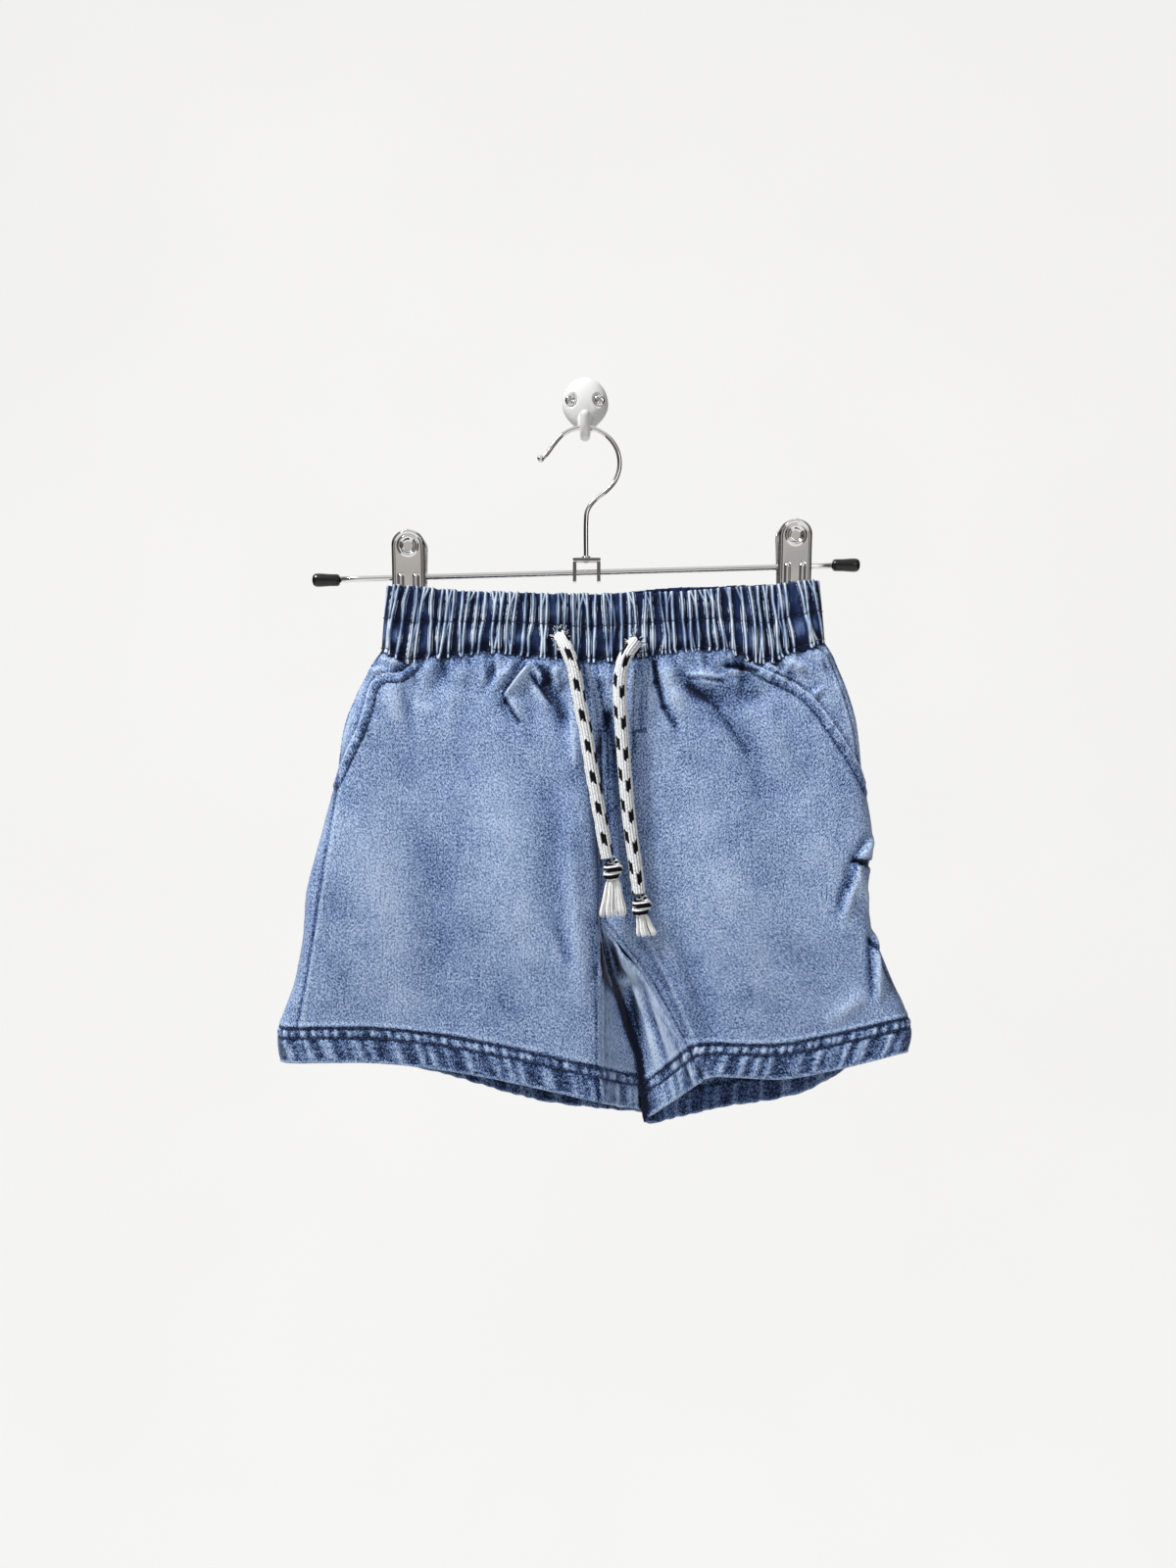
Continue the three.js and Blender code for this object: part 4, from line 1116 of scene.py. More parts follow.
def make_hems(panels, material):
    """The inner layer of each hem, seen inside the leg openings."""
    for (face, side), panel in panels.items():
        first = np.argmax(panel.height.max(1) < HEM_REACH)
        grid = panel.grid[first:] - panel.normal[first:] * (DENIM + 0.15)
        fade = panel.fade[first:] + 0.02
        keep = panel.height[first:] < HEM_TURN
        keep[-1] = False
        name, uvs = f"hem_{face}_inner_{side}", panel.uvs[first:]
        obj = grid_object(name, grid, panel.facing, uvs, {"fade": fade}, keep)
        thicken(obj, DENIM)
        finish_piece(obj, "hem", material, f"hem_{face}_{side}")


# ---------- waistband ----------
BAND_STITCH = (0.47, 0.93)  # shares of the band's height where the stitch rows cross
BAND_LEFT = (-110.5, -113.4)  # x of the left end, at the top and the bottom
BAND_WIDTH = (241.0, 246.8)  # at the top and the bottom
BAND_RUN = 246.0  # the width that the gathers are laid out on
BAND_TALL = 38
CLIP_X = {"left": -98.3, "right": 117.0}
CLIP_HALF = 9.3
RIDGES = 56
# Places where the gathered cloth puffs out: how far along, how wide, at what share of the height.
PUFFS = table("along width level power", [
    (6, 7, 0.68, 1.2), (50, 5, 0.7, 0.9), (76, 7, 0.74, 1.0), (141, 5, 0.6, 0.6), (60, 6, 0.2, 0.7),
    (170, 5, 0.72, 0.9), (186, 5, 0.70, 0.7), (236, 8, 0.66, 1.3), (228, 6, 0.2, 0.8), (40, 4, 0.2, 0.5),
    (130, 5, 0.25, 0.7), (205, 4, 0.68, 0.5), (100, 4, 0.3, 0.4),
])


def band_ridges(seed):
    """The crests of the gathers: each is a list of x shifts at set heights, and its strength there."""
    rng = np.random.default_rng(seed)
    levels = np.array([0, 0.2, 0.47, 0.7, 0.93, 1.0])
    spacing = BAND_RUN / RIDGES
    ridges = []
    for k in range(RIDGES + 1):
        start = k * spacing + rng.normal(0, 0.17 * spacing)
        wander = np.cumsum(rng.normal(0, 0.58, len(levels)))
        lean = (start / BAND_RUN - 0.48) * 7.0 * (levels - 0.35)
        strength = rng.uniform(0.8, 1.15, len(levels))
        line = start + wander * 0.8 + lean
        ridges.append((line, strength, rng.uniform(0.62, 0.86)))
        if rng.uniform() < 0.34:
            side = rng.choice([-1, 1])
            split = side * np.array([2.5, 0.35, 0, 0, 0, 0]) * rng.uniform(0.8, 1.2)
            ridges.append((line + split, strength * [1, 0.8, 0, 0, 0, 0], 0.66))
        if rng.uniform() < 0.24:
            side = rng.choice([-1, 1])
            split = side * np.array([0, 0, 0.2, 0.9, 2.1, 2.6]) * rng.uniform(0.7, 1.1)
            ridges.append((line + split, strength * [0, 0, 0.3, 0.7, 1, 1], 0.66))
        if rng.uniform() < 0.06:
            split = rng.choice([-1, 1]) * np.array([0, 1.2, 2.2, 1.0, 0, 0])
            ridges.append((line + split, strength * [0, 0.6, 0.9, 0.6, 0, 0], 0.6))
    return levels, ridges


def band_shape(face, rows, columns):
    """The outer face of a gathered band as a grid, with its worn crests and painted shade, and the height of
    its gathers.
    """
    front = face == "front"
    top = BAND_LINE[f"{face}Top"]
    bottom = BAND_LINE[f"{face}Bottom"]
    face_y = -30.5 if front else -13.8
    middle_y = -21.15 if front else -20.85
    outward = -1 if front else 1
    end_round = 6.0 if front else 1.5
    v = np.linspace(0, 1, rows)[:, None]
    u = np.linspace(0, 1, columns)[None, :]
    width = mix(*BAND_WIDTH, v)
    run = u * width
    x = mix(*BAND_LEFT, v) + run
    levels, ridges = band_ridges(seed=3 if front else 8)
    crest = np.zeros((rows, columns))
    shine = np.zeros((rows, columns))
    crevice = np.zeros((rows, columns))
    flat_run = run * BAND_RUN / width
    for places, strengths, girth in ridges:
        at = np.interp(v[:, 0], levels, places)[:, None]
        power = np.interp(v[:, 0], levels, strengths)[:, None]
        aside = np.abs(flat_run - at) / girth
        crest = np.maximum(crest, power * np.exp(-(aside**1.6) / 1.8))
        shine = np.maximum(shine, power * np.exp(-(aside**3.2)))
        crevice = np.maximum(crevice, power * bell(aside - 2.0, 0.6))
    pinch = sum(bell((v - row) * BAND_TALL, 1.1) for row in BAND_STITCH)
    channel = np.sin(np.pi * np.clip(v / 0.47, 0, 1)) ** 0.6 * (v < 0.47)
    channel = channel + np.sin(np.pi * np.clip((v - 0.47) / 0.46, 0, 1)) ** 0.6 * (v >= 0.47)
    rng = np.random.default_rng(17)
    puff = np.zeros((rows, columns))
    for row in PUFFS:
        patch = ((flat_run - row["along"]) / row["width"]) ** 2 + ((v - row["level"]) / 0.15) ** 2
        puff += row["power"] * np.exp(-patch)
    height = (0.2 + 2.7 * crest) * (0.82 + 0.18 * channel) + 0.9 * puff * channel - 0.3 * pinch
    height -= 1.7
    if not front:
        for clip in CLIP_X.values():
            press = np.exp(-(((x - clip) / (CLIP_HALF + 2)) ** 8)) * (v < 0.45)
            height = height * (1 - 0.8 * press) - 0.3 * press
    from_end = np.minimum(run, width - run)
    bend = np.sqrt(np.clip(1 - (1 - np.minimum(from_end / end_round, 1)) ** 2, 0, 1))
    top_z = edge_height(top, x) + 0.8 * (crest - 0.4) * np.exp(-v * 20)
    z = mix(top_z, edge_height(bottom, x), v)
    y = mix(middle_y, face_y, bend) + outward * height * bend
    grid = np.stack([x, y, z], -1)
    cloth = 0.13 * patches(1.4 * flat_run, v * 20, 9, 42)
    # Near-white worn crests, painted shade in the crevices between them, and lighter where the cloth puffs
    # out.
    fade = 0.22 + cloth - 0.24 * crevice * (1 - shine) + 0.70 * np.clip(shine, 0, 1)
    fade += 0.34 * np.clip(puff, 0, 1) * (0.4 + 0.6 * channel) * (1 - shine)
    # Painted shade towards the band's lower edge, and lighter along its top edge.
    fade += 0.11 * patches(flat_run, v * BAND_TALL, 5, 41) - 0.32 * (1 - shine) * ease((v - 0.76) / 0.15)
    fade += rng.normal(0, 0.03, fade.shape) + 0.18 * np.exp(-v * BAND_TALL / 0.9)
    # Painted shade along the pinched stitch rows.
    fade -= 0.18 * pinch * (1 - shine)
    return grid, np.clip(fade, 0, 1), run, v


def band_material(name):
    """Gathered twill: deep navy with painted shade in the folds, worn nearly white on the crests."""
    graph = Graph(name)
    place = graph.cloth_place()
    yarn = graph.noise(graph.cloth_place(2.0, 2.0), 1.0, detail=2.0, roughness=0.6)
    blotch = graph.noise(graph.cloth_place(0.25, 0.12), 1.0, detail=2.0)
    tone_and_shade = graph.math("ADD", graph.attribute("fade"), graph.spread(yarn, 0.35, 0.65, -0.06, 0.06))
    tone_and_shade = graph.math("ADD", tone_and_shade, graph.spread(blotch, 0.35, 0.65, -0.06, 0.06))
    stops = [(0.0, (0.004, 0.007, 0.022)), (0.3, (0.014, 0.03, 0.105)), (0.58, (0.12, 0.19, 0.36)),
             (0.8, (0.42, 0.53, 0.68)), (1.0, (0.82, 0.88, 0.94))]
    graph.link("Base Color", graph.ramp(tone_and_shade, stops))
    graph.set("Roughness", 0.9)
    graph.set("Sheen Weight", 0.08)
    graph.set("Specular IOR Level", 0.15)
    relief = graph.math("ADD", yarn, graph.noise(place, 0.6, detail=2.0))
    graph.link("Normal", graph.bump(relief, 0.0002, 0.8))
    return graph.material


def make_bands(material):
    bands = {}
    for face in ("front", "back"):
        columns = 330 if (face == "back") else 740
        rows = 34 if (face == "back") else 60
        grid, fade, run, v = band_shape(face, rows, columns)
        side = -1 if face == "front" else 1
        uvs = np.stack(np.broadcast_arrays(run * 1.5, -v * BAND_TALL), -1)
        obj = grid_object(f"{face}_waistband", grid, side, uvs, {"fade": fade})
        thicken(obj, 2.2)
        finish_piece(obj, "waistband", material, f"waistband_{face}")
        bands[face] = (grid, normals_of(grid, side))
    return bands


# ---------- stitches ----------
THREAD_SINK = 0.1  # how deep a thread lies in the cloth


def stitch_row(points, normals, length=2.6, gap=0.9, radius=0.3):
    """Short capsules of thread along a line on the cloth."""
    run = lengths(points)
    parts = []
    start = 0.4 * length
    while start + length < run[-1]:
        at = start + length * np.array([0, 0.12, 0.3, 0.7, 0.88, 1.0])
        high = np.array([-0.45, -0.05, 0.1, 0.1, -0.05, -0.45]) * radius * 2
        girth = radius * np.array([0.35, 0.85, 1.0, 1.0, 0.85, 0.35])
        line = read_off(at, run, points)
        out = read_off(at, run, normals)
        out /= np.maximum(np.linalg.norm(out, axis=1, keepdims=True), 1e-6)
        parts.append(tube(line + out * (high + radius - THREAD_SINK)[:, None], girth, sides=6))
        start += length + gap
    return parts


def on_surface(tree, line):
    """Points and normals where a front-view line (x, z) meets the cloth."""
    points, normals = [], []
    for x, z in line:
        hit, normal, _, _ = tree.ray_cast(Vector((x * MM, -0.08, z * MM)), Vector((0, 1, 0)))
        if hit is not None:
            points.append(np.array(hit) / MM)
            normals.append(np.array(normal if normal.y < 0 else -normal))
    return np.array(points), np.array(normals)


def surface_tree(*names):
    verts, polys = [], []
    for name in names:
        mesh = bpy.data.objects[name].data
        offset = len(verts)
        verts += [v.co.copy() for v in mesh.vertices]
        polys += [[offset + k for k in p.vertices] for p in mesh.polygons]
    return BVHTree.FromPolygons(verts, polys)


FLY_LINE = [(27.5, -150), (26.5, -175), (26, -196), (24, -212), (19.5, -223), (12, -231)]


def make_stitches(panels, bands, navy):
    parts = []
    for (face, side), panel in panels.items():
        for height in HEM_ROWS:
            parts += stitch_row(*panel.hem_line(height), length=2.9, gap=0.8, radius=0.34)
    for face, (grid, normal) in bands.items():
        for share in BAND_STITCH:
            row = int(round(share * (len(grid) - 1)))
            parts += stitch_row(grid[row], normal[row], gap=1.6)
    for side in ("left", "right"):
        tree = surface_tree(f"front_panel_{side}", f"facing_{side}")
        parts += stitch_row(*on_surface(tree, mouth_line(side, 5.2)))
        if side == "right":
            parts += stitch_row(*on_surface(tree, smooth_line(FLY_LINE, 80, 1.0)))
    finish_piece(joined("stitches", parts), "denim", navy)


# ---------- drawstring ----------
CORD_RADIUS = 3.5
DRAWSTRINGS = {
    "left": {
        "route": [
            (-13.2, -32.4, -133.3), (-13, -35.6, -134.2), (-12, -38.4, -136.6), (-10.3, -40.2, -140),
            (-8.4, -41.2, -144.5), (-6.6, -41.8, -150), (-5.2, -42.2, -156), (-4, -42.4, -163),
            (-2.6, -42.6, -171), (-1, -42.8, -179), (0.6, -43, -187), (2, -43.2, -196),
            (3.4, -43.4, -205), (5, -43.5, -214), (6.6, -43.4, -223), (8.2, -43.3, -232),
            (9.8, -43.2, -241), (11.2, -43.1, -249), (12.2, -43, -254),
        ],
        "knot": (15, -43.6, -260.4),
        "fringe": {"length": 21.0, "spread": 7.2, "lean": 0.0, "strands": 90},
    },
    "right": {
        "route": [
            (27.1, -32.4, -137), (26.6, -35.6, -137.6), (25.2, -38.2, -139.6), (23, -40, -142.8),
            (21, -41, -147), (19.6, -41.4, -153), (18.8, -41.6, -161), (19, -41.8, -170),
            (19.6, -42, -180), (20.3, -42, -190), (21, -42, -200), (21.8, -42, -210),
            (22.6, -42, -220), (23.6, -42, -230), (24.8, -42, -240), (26.2, -42, -250),
            (27.4, -42, -259), (28.4, -42, -267), (29, -42, -273.2),
        ],
        "knot": (30.6, -42.6, -279.8),
        "fringe": {"length": 12.0, "spread": 5.2, "lean": 2.6, "strands": 60},
    },
}
BRAID_COLUMNS = 14
BRAID_PITCH = 2.1  # length of one cell along the cord
FLECK_EVERY = 16.5  # from one fleck to the next along the cord
KNOT_FLECKS = 8.4  # drawn tight, a knot shows its flecks closer together
FLECK_STARTS = [(0, 0), (4, 3), (7, 0), (11, 3)]  # each line of flecks: its column, then its first cell
FLECK_WIDE, FLECK_LONG = 2, 3  # cells in one fleck
FRINGE_Y = -39.2  # the strands keep in front of the cloth


def braid_mesh(name, path, radius, shift=0.0, spacing=FLECK_EVERY):
    """A braided tube: cells in columns round it, each a slanting pillow, some of them dark."""
    path = resample(np.asarray(path, float), 0.42)
    sides = 56
    run = lengths(path)[:, None] + shift
    column = np.arange(sides)[None, :] * BRAID_COLUMNS / sides
    index = np.floor(column).astype(int)
    across = (column - index) * 2 - 1
    slant = np.where(index % 2 == 0, 1.0, -1.0) * 0.30 * across
    place = run / BRAID_PITCH + 0.5 * (index % 2) + slant
    cell = np.floor(place).astype(int)
    along = (place - cell) * 2 - 1
    pillow = np.clip(1 - across**2, 0, 1) ** 0.5 * np.clip(1 - along**4, 0, 1) ** 0.5
    every = int(round(spacing / BRAID_PITCH))
    fleck = np.zeros(pillow.shape)
    for base, begin in FLECK_STARTS:
        wide = (index - base) % BRAID_COLUMNS < FLECK_WIDE
        fleck[wide & ((cell - begin) % every < FLECK_LONG)] = 1
    reach = radius * (0.93 + 0.12 * pillow)
    reach += 0.13 * np.random.default_rng(9).normal(0, 1, reach.shape)
    points, faces = capped_tube(path, reach, sides)
    values = {"groove": (1 - pillow).ravel() ** 2, "fleck": fleck.ravel()}
    values = {key: np.append(value, [0, 0]) for key, value in values.items()}
    return new_object(name, points, faces, values=values), path


def knot_path(centre, height, turn):
    """An overhand knot drawn tight: up through the middle, with two slanting wraps round it."""
    shares = np.linspace(0, 1, 90)
    angle = turn + 2 * math.pi * 1.9 * shares
    reach = 2.7 * np.sin(np.pi * np.clip(shares * 1.04 - 0.02, 0, 1)) ** 0.35
    x = centre[0] + reach * np.cos(angle)
    y = centre[1] + reach * np.sin(angle) * 0.85
    z = centre[2] + height * (0.5 - shares) + 0.9 * np.cos(angle)
    return np.stack([x, y, z], -1)


def fringe_strands(centre, top, spec, seed):
    """The frayed yarns under a knot, fanned out and slightly wavy."""
    rng = np.random.default_rng(seed)
    parts = []
    shares = np.linspace(0, 1, 9)
    for _ in range(spec["strands"]):
        angle = rng.uniform(0, 2 * math.pi)
        reach = math.sqrt(rng.uniform(0, 1))
        length = spec["length"] * rng.uniform(0.82, 1.0)
        start = np.array([math.cos(angle), 0.8 * math.sin(angle), 0]) * reach * 2.6
        fan = np.array([math.cos(angle), 0.5 * math.sin(angle), 0]) * reach * spec["spread"]
        spread = (shares**0.75)[:, None]
        line = np.array([centre[0], centre[1], top]) + start * (1 - spread) + fan * spread
        line[:, 2] -= shares * length
        line[:, 0] += spec["lean"] * shares + 0.25 * np.sin(shares * 9 + angle) * shares
        line[:, 1] = np.minimum(line[:, 1], FRINGE_Y)
        parts.append(tube(line, rng.uniform(0.26, 0.42), sides=5))
    return parts


def make_drawstrings(braid, yarn):
    for side, spec in DRAWSTRINGS.items():
        route = spline(np.array(spec["route"]), np.linspace(0, 1, 500))
        cord, path = braid_mesh(f"cord_{side}", route, CORD_RADIUS, shift=3.0 if side == "left" else 9.0)
        finish_piece(cord, "cord", braid, f"drawstring_{side}")
        centre = np.array(spec["knot"])
        knot, _ = braid_mesh(f"cord_knot_{side}", knot_path(centre, 6.5, 0.4), 2.75, 1.0, KNOT_FLECKS)
        finish_piece(knot, "cord", braid, f"knot_{side}")
        fringe = joined(f"cord_fringe_{side}", fringe_strands(centre, centre[2] - 4.6, spec["fringe"], 31))
        finish_piece(fringe, "cord", yarn, f"tassel_{side}")


def make_buttonholes(light, dark):
    """A frayed upright slit round each cord's exit, of short loose thread ends."""
    rng = np.random.default_rng(77)
    pale, deep = [], []
    for spec in DRAWSTRINGS.values():
        x, _, z = spec["route"][0]
        for k in range(70):
            angle = rng.uniform(0, 2 * math.pi)
            start = np.array([x + 3.6 * math.cos(angle), -33.4, z + 5.6 * math.sin(angle) - 1.0])
            away = np.array([math.cos(angle), -0.9, math.sin(angle)]) * rng.uniform(0.6, 2.4)
            bend = rng.normal(0, 0.5, 3)
            line = np.array([start + away * t + bend * t * t for t in np.linspace(0, 1, 5)])
            (pale if k % 5 < 3 else deep).append(tube(line, 0.17, sides=4))
    finish_piece(joined("buttonhole_fray", pale), "waistband", light)
    finish_piece(joined("buttonhole_edge", deep), "waistband", dark)


# ---------- hanger and wall hook ----------
BAR_MIDDLE = (0.6, HANG_Y, -95.4)
BAR_TILT = 0.0278
BAR_HALF = 151.0
CAP_PROFILE = [  # along the bar from its end, then radius
    (-12.4, 1.75), (-12.6, 2.5), (-12.2, 3.1), (-11.0, 3.35), (-7.0, 3.4), (-3.0, 3.7), (-0.6, 3.8),
    (0.9, 3.6), (1.9, 2.9), (2.4, 1.7), (2.5, 0.02),
]
WIRE_RADIUS = 1.35
HOOK_CENTRE = (-0.6, -34.0)
HOOK_RADIUS = 20.0
BRACKET_TOP = -87.5
COIL_RADIUS = 2.85
JAW_COLUMNS = "z half front back"
JAW_ROWS = table(JAW_COLUMNS, [
    (25.4, 3, -9.4, 9.4), (17.5, 9.3, -7.9, 7.9), (8, 9.3, -6.3, 6.3), (-3, 9.3, -4.9, 5.0),
    (-13, 9.3, -3.2, 4.3), (-18.6, 9.3, -2.7, 4.1),
])


def bar_height(x):
    return BAR_MIDDLE[2] + (x - BAR_MIDDLE[0]) * BAR_TILT


def lathe(profile, sides=40):
    """A turned shape about the X axis, from (along, radius) pairs."""
    profile = np.array(profile, float)
    turn = round_turns(sides)
    points = np.stack([
        np.repeat(profile[:, :1], sides, 1),
        profile[:, 1:] * np.cos(turn)[None],
        profile[:, 1:] * np.sin(turn)[None],
    ], -1)
    return points.reshape(-1, 3), grid_faces(len(profile), sides, 1, wrap=True).tolist()


def make_bar(chrome, rubber):
    ends = [BAR_MIDDLE[0] + outward * BAR_HALF for outward in OUTWARD.values()]
    left, right = (np.array((x, HANG_Y, bar_height(x))) for x in ends)
    path = [mix(left, right, t) for t in np.linspace(0, 1, 12)]
    finish_piece(joined("bar", [tube(path, 1.7, sides=32)]), "steel", chrome, "hanger_bar")
    for side, outward in OUTWARD.items():
        points, faces = lathe(CAP_PROFILE)
        points[:, 0] *= outward
        if outward < 0:
            faces = [face[::-1] for face in faces]
        x = BAR_MIDDLE[0] + outward * BAR_HALF
        points += (x, HANG_Y, bar_height(x))
        cap = joined(f"end_cap_{side}", [(points, faces)])
        finish_piece(cap, "cap", rubber, f"hanger_cap_{side}")


def make_hook(chrome):
    route = [(-26.2, HANG_Y, -32.4), (-22.2, HANG_Y, -29.6)]
    for degrees in range(148, -53, -20):
        turn = math.radians(degrees)
        x, z = HOOK_CENTRE[0] + HOOK_RADIUS * math.cos(turn), HOOK_CENTRE[1] + HOOK_RADIUS * math.sin(turn)
        route.append((x, HANG_Y, z))
    route += [(4.2, HANG_Y, -56), (1.2, HANG_Y, -61), (0.6, HANG_Y, -66), (0.6, HANG_Y, BRACKET_TOP - 2.6)]
    path = smooth_line(route, 800, 1.0)
    girth = np.full(len(path), WIRE_RADIUS)
    run = lengths(path)
    tip = run < 2.6
    girth[tip] = WIRE_RADIUS + 0.85 * np.sin(np.pi * (run[tip] + 0.25) / 3.4)
    parts = [tube(path, girth, sides=28)]
    rivet, faces = lathe([(0, 0.02), (0, 2.2), (0.5, 2.3), (1.2, 1.7), (1.5, 0.02)], 28)
    rivet = np.stack([rivet[:, 1] + 0.6, rivet[:, 2] + HANG_Y, -rivet[:, 0] + BRACKET_TOP - 1.2], -1)
    parts.append((rivet, faces))
    collar, faces = lathe([(0, 1.3), (0, 2.6), (0.9, 2.7), (1.1, 1.3)], 28)
    collar = np.stack([collar[:, 1] + 0.6, collar[:, 2] + HANG_Y, collar[:, 0] + BRACKET_TOP + 0.1], -1)
    parts.append((collar, [face[::-1] for face in faces]))
    finish_piece(joined("hook_wire", parts), "steel", chrome, "hanger_hook")


def bent_plate(rows, inward, steps=61, window=21):
    """The outer face of a sheet-metal jaw: a grid bent along its height, with its relief and curled edges."""
    z, half, y = (np.array(column, float) for column in zip(*rows))
    fine = np.linspace(z[0], z[-1], 90)
    order = np.argsort(z)
    half = np.interp(fine, z[order], half[order])
    y = np.interp(fine, z[order], y[order])
    padded = np.pad(y, window // 2, mode="reflect", reflect_type="odd")
    y = np.convolve(padded, np.ones(window) / window, "valid")
    across = np.linspace(-1, 1, steps)
    x = across[None] * half[:, None]
    grid = np.stack([x, np.repeat(y[:, None], steps, 1), np.repeat(fine[:, None], steps, 1)], -1)
    grid[..., 1] -= inward * jaw_relief(grid[..., 0], grid[..., 2])
    curl = 0.9 * (np.abs(across) ** 6)[None]
    grid[..., 1] += inward * 1.2 * curl
    return grid


def jaw_relief(x, z):
    """The raised rim, the embossed ring near a jaw's top and the two ribs at its gripping end."""
    ring = np.hypot(x, z - 16.5)
    relief = 0.7 * bell(ring - 5.0, 0.7) - 1.1 * ease((4.2 - ring) / 1.6)
    edge = np.where(z > 16.1, 9.3 - np.hypot(x, z - 16.1), 9.3 - np.abs(x))
    relief = relief + 0.7 * bell(edge - 1.3, 0.7)
    for rib in (-4.3, 4.1):
        ends = ease((1.5 - z) / 1.6) * ease((z + 17.5) / 2)
        relief = relief + 1.1 * np.exp(-(((x - rib) / 1.35) ** 4)) * ends
    return relief


def make_clips(chrome):
    for side, x in CLIP_X.items():
        for face, inward in (("front", 1), ("back", -1)):
            fine = []
            for step in np.linspace(0, 1, 12):
                angle = step * math.pi / 2
                fine.append((17.0 + 8.4 * math.cos(angle), max(0.3, 9.3 * math.sin(angle))))
            heights, depths = ([r[key] for r in JAW_ROWS[::-1]] for key in ("z", face))
            rows = [(z, half, np.interp(z, heights, depths)) for z, half in fine]
            rows += [(r["z"], r["half"], r[face]) for r in JAW_ROWS if r["z"] < 16.9]
            grid = bent_plate(rows, inward) + (x, HANG_Y, bar_height(x))
            name = "clip_jaw" if face == "front" else "clip_back_jaw"
            obj = grid_object(f"{name}_{side}", grid, -inward)
            thicken(obj, 1.0)
            finish_piece(obj, "steel", chrome, f"clip_{face}_{side}")
        coil = []
        turns = 6
        for k in np.linspace(0, 1, turns * 24 + 1):
            angle = 2 * math.pi * turns * k
            y, z = HANG_Y + COIL_RADIUS * math.cos(angle), bar_height(x) + COIL_RADIUS * math.sin(angle)
            coil.append((x + mix(-5.4, 5.4, k), y, z))
        spring = joined(f"clip_coil_{side}", [tube(coil, 0.75, sides=10)])
        finish_piece(spring, "steel", chrome, f"clip_spring_{side}")


def box_part(low, high):
    corners = np.array([[x, y, z] for x in (low[0], high[0])
                        for y in (low[1], high[1]) for z in (low[2], high[2])])
    faces = [(0, 1, 3, 2), (4, 6, 7, 5), (0, 4, 5, 1), (2, 3, 7, 6), (0, 2, 6, 4), (1, 5, 7, 3)]
    return corners, [list(face) for face in faces]


def make_bracket(chrome):
    """A folded sleeve over the bar: a bridge on top and a leg at each end, closed by a foot."""
    left, right, depth, inner = -6.8, 8.6, 3.5, 2.3
    leg, bridge, low, foot_top = 1.9, 2.0, -101, -97.6
    legs = [(left, left + leg), (right - leg, right)]
    parts = []
    for near, far in ((HANG_Y - depth, HANG_Y - inner), (HANG_Y + inner, HANG_Y + depth)):
        parts.append(box_part((left, near, BRACKET_TOP - bridge), (right, far, BRACKET_TOP)))
        for a, b in legs:
            parts.append(box_part((a, near, low), (b, far, BRACKET_TOP - bridge)))
    for a, b in ((left, -1.2), (2.4, right)):
        parts.append(box_part((a, HANG_Y - inner, BRACKET_TOP - 1.2), (b, HANG_Y + inner, BRACKET_TOP)))
    for a, b in legs:
        parts.append(box_part((a, HANG_Y - inner, low), (b, HANG_Y + inner, foot_top)))
    obj = joined("bar_bracket", parts)
    obj.data.polygons.foreach_set("use_smooth", np.zeros(len(obj.data.polygons), bool))
    bevel = obj.modifiers.new("soft edges", "BEVEL")
    bevel.width = 0.25 * MM
    bevel.segments = 2
    finish_piece(obj, "steel", chrome, "hanger_bracket")


PRONG_ROUTE = [(0, -3, -4), (0, -6.5, -9.5), (0, -10.5, -15), (0, -15.2, -18.6), (0, -20, -18.4),
               (0, -23.8, -14.6), (0, -25.6, -9.6)]
PLATE = {"half": 13.4, "depth": 8.0, "middle": 3.4, "tall": 15.8}
SCREW = {"x": 8.2, "z": 4.6, "seat": -5.2}


def plate_mesh(rings=40, sides=72):
    """The domed plate, with a flat seat sunk for each screw and a flat back."""
    turn = round_turns(sides)
    rows = []
    for k in range(rings + 1):
        angle = k / rings * math.pi / 2
        reach, depth = math.sin(angle), math.cos(angle)
        z = np.sin(turn) * reach
        x = np.cos(turn) * reach * np.where(z < 0, 1 - 0.42 * z**2, 1)
        x, z = x * PLATE["half"], z * PLATE["tall"] + PLATE["middle"]
        y = np.full(sides, -depth ** 0.9 * PLATE["depth"])
        for outward in OUTWARD.values():
            away = np.hypot(x - outward * SCREW["x"], z - SCREW["z"])
            y = y + (np.maximum(y, SCREW["seat"]) - y) * ease((4.1 - away) / 0.6)
        rows.append(np.stack([x, y, z], -1))
    rows.append(rows[-1] * (1, 0, 1))
    points = np.concatenate([*rows, [(0, 0, PLATE["middle"])]])
    faces = grid_faces(len(rows), sides, -1, wrap=True).tolist()
    rim = (len(rows) - 1) * sides
    faces += [[len(points) - 1, rim + k, rim + (k + 1) % sides] for k in range(sides)]
    return points, faces


def prong_mesh(radius=2.9, step=0.8):
    """The prong, thicker at its root and round at its tip."""
    path = smooth_line(PRONG_ROUTE, 300, step)
    run = lengths(path) / lengths(path)[-1]
    angles = (0.35, 0.7, 1.05, 1.35, 1.55)
    tip = [path[-1] + (path[-1] - path[-2]) / step * radius * math.sin(a) for a in angles]
    girth = np.concatenate([radius + 2.4 * (1 - run) ** 3, [radius * math.cos(a) for a in angles]])
    points, faces = tube(np.concatenate([path, tip]), girth, sides=32)
    points[:, 1] = np.minimum(points[:, 1], -0.2)
    return points, faces


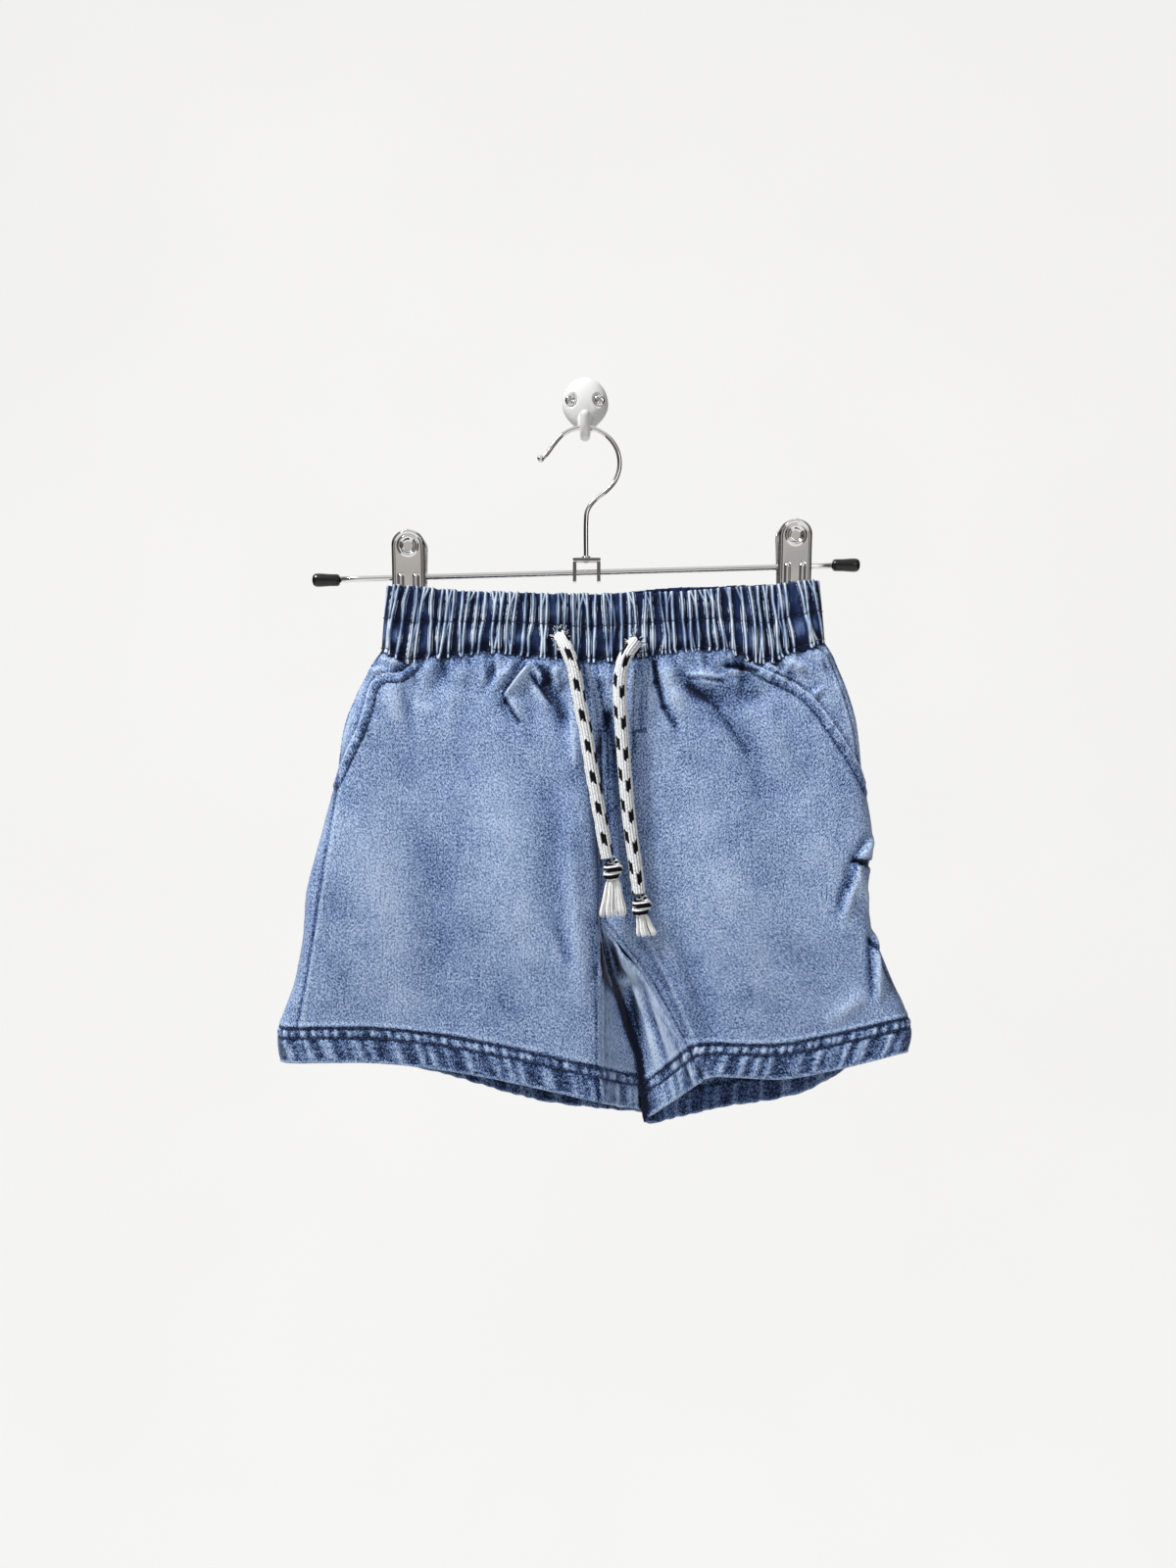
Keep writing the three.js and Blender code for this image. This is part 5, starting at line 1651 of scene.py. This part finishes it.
def screw_mesh(x, spin, radius=3.3, sides=96):
    """A domed screw head with a cross cut in it."""
    around = round_turns(sides)
    head = []
    for reach in np.linspace(0.02, radius, 40):
        px, pz = reach * np.cos(around), reach * np.sin(around)
        a = px * math.cos(spin) + pz * math.sin(spin)
        b = -px * math.sin(spin) + pz * math.cos(spin)
        cross = ease((0.60 - np.minimum(np.abs(a), np.abs(b))) / 0.2) * ease((2.3 - np.hypot(a, b)) / 0.3)
        dome = 1.5 * math.sqrt(max(0.0, 1 - (reach / radius) ** 2.6))
        head.append(np.stack([px + x, SCREW["seat"] - 0.3 - dome + 1.9 * cross, pz + SCREW["z"]], -1))
    return np.concatenate(head), grid_faces(len(head), sides, -1, wrap=True).tolist()


def make_wall_hook(enamel, chrome):
    finish_piece(joined("wall_hook", [plate_mesh(), prong_mesh()]), "enamel", enamel, "wall_plate")
    for side, spin in (("left", 0.3), ("right", 0.9)):
        screw = joined(f"screw_head_{side}", [screw_mesh(OUTWARD[side] * SCREW["x"], spin)])
        finish_piece(screw, "steel", chrome, f"screw_{side}")


# ---------- assembly ----------
make_camera()
make_light()
make_stage()
braid = braid_material()
yarn = thread_material("yarn", (0.90, 0.90, 0.89), (1.0, 1.0, 0.98))
make_drawstrings(braid, yarn)
body = denim("denim", (0.014, 0.036, 0.130), (0.168, 0.264, 0.485), (0.54, 0.65, 0.82))
panels = make_panels(body)
make_facings(panels, body)
# The inner hems take a darker copy of the denim: the inside is less worn, and part of the darkness is painted
# shade inside the leg openings.
make_hems(panels, denim("hem denim", (0.012, 0.028, 0.100), (0.090, 0.160, 0.340), (0.36, 0.46, 0.64)))
bands = make_bands(band_material("waistband denim"))
navy = thread_material("navy thread", (0.006, 0.012, 0.045), (0.03, 0.05, 0.14))
make_stitches(panels, bands, navy)
make_buttonholes(yarn, navy)
chrome = plain("chrome", (0.80, 0.785, 0.765), 0.09, metal=1.0, mottle=0.03)
make_bar(chrome, plain("rubber", (0.005, 0.005, 0.005), 0.22, mottle=0.2))
make_hook(chrome)
make_clips(chrome)
make_bracket(chrome)
make_wall_hook(plain("enamel", (0.74, 0.74, 0.73), 0.16, coat=0.6, mottle=0.015), chrome)
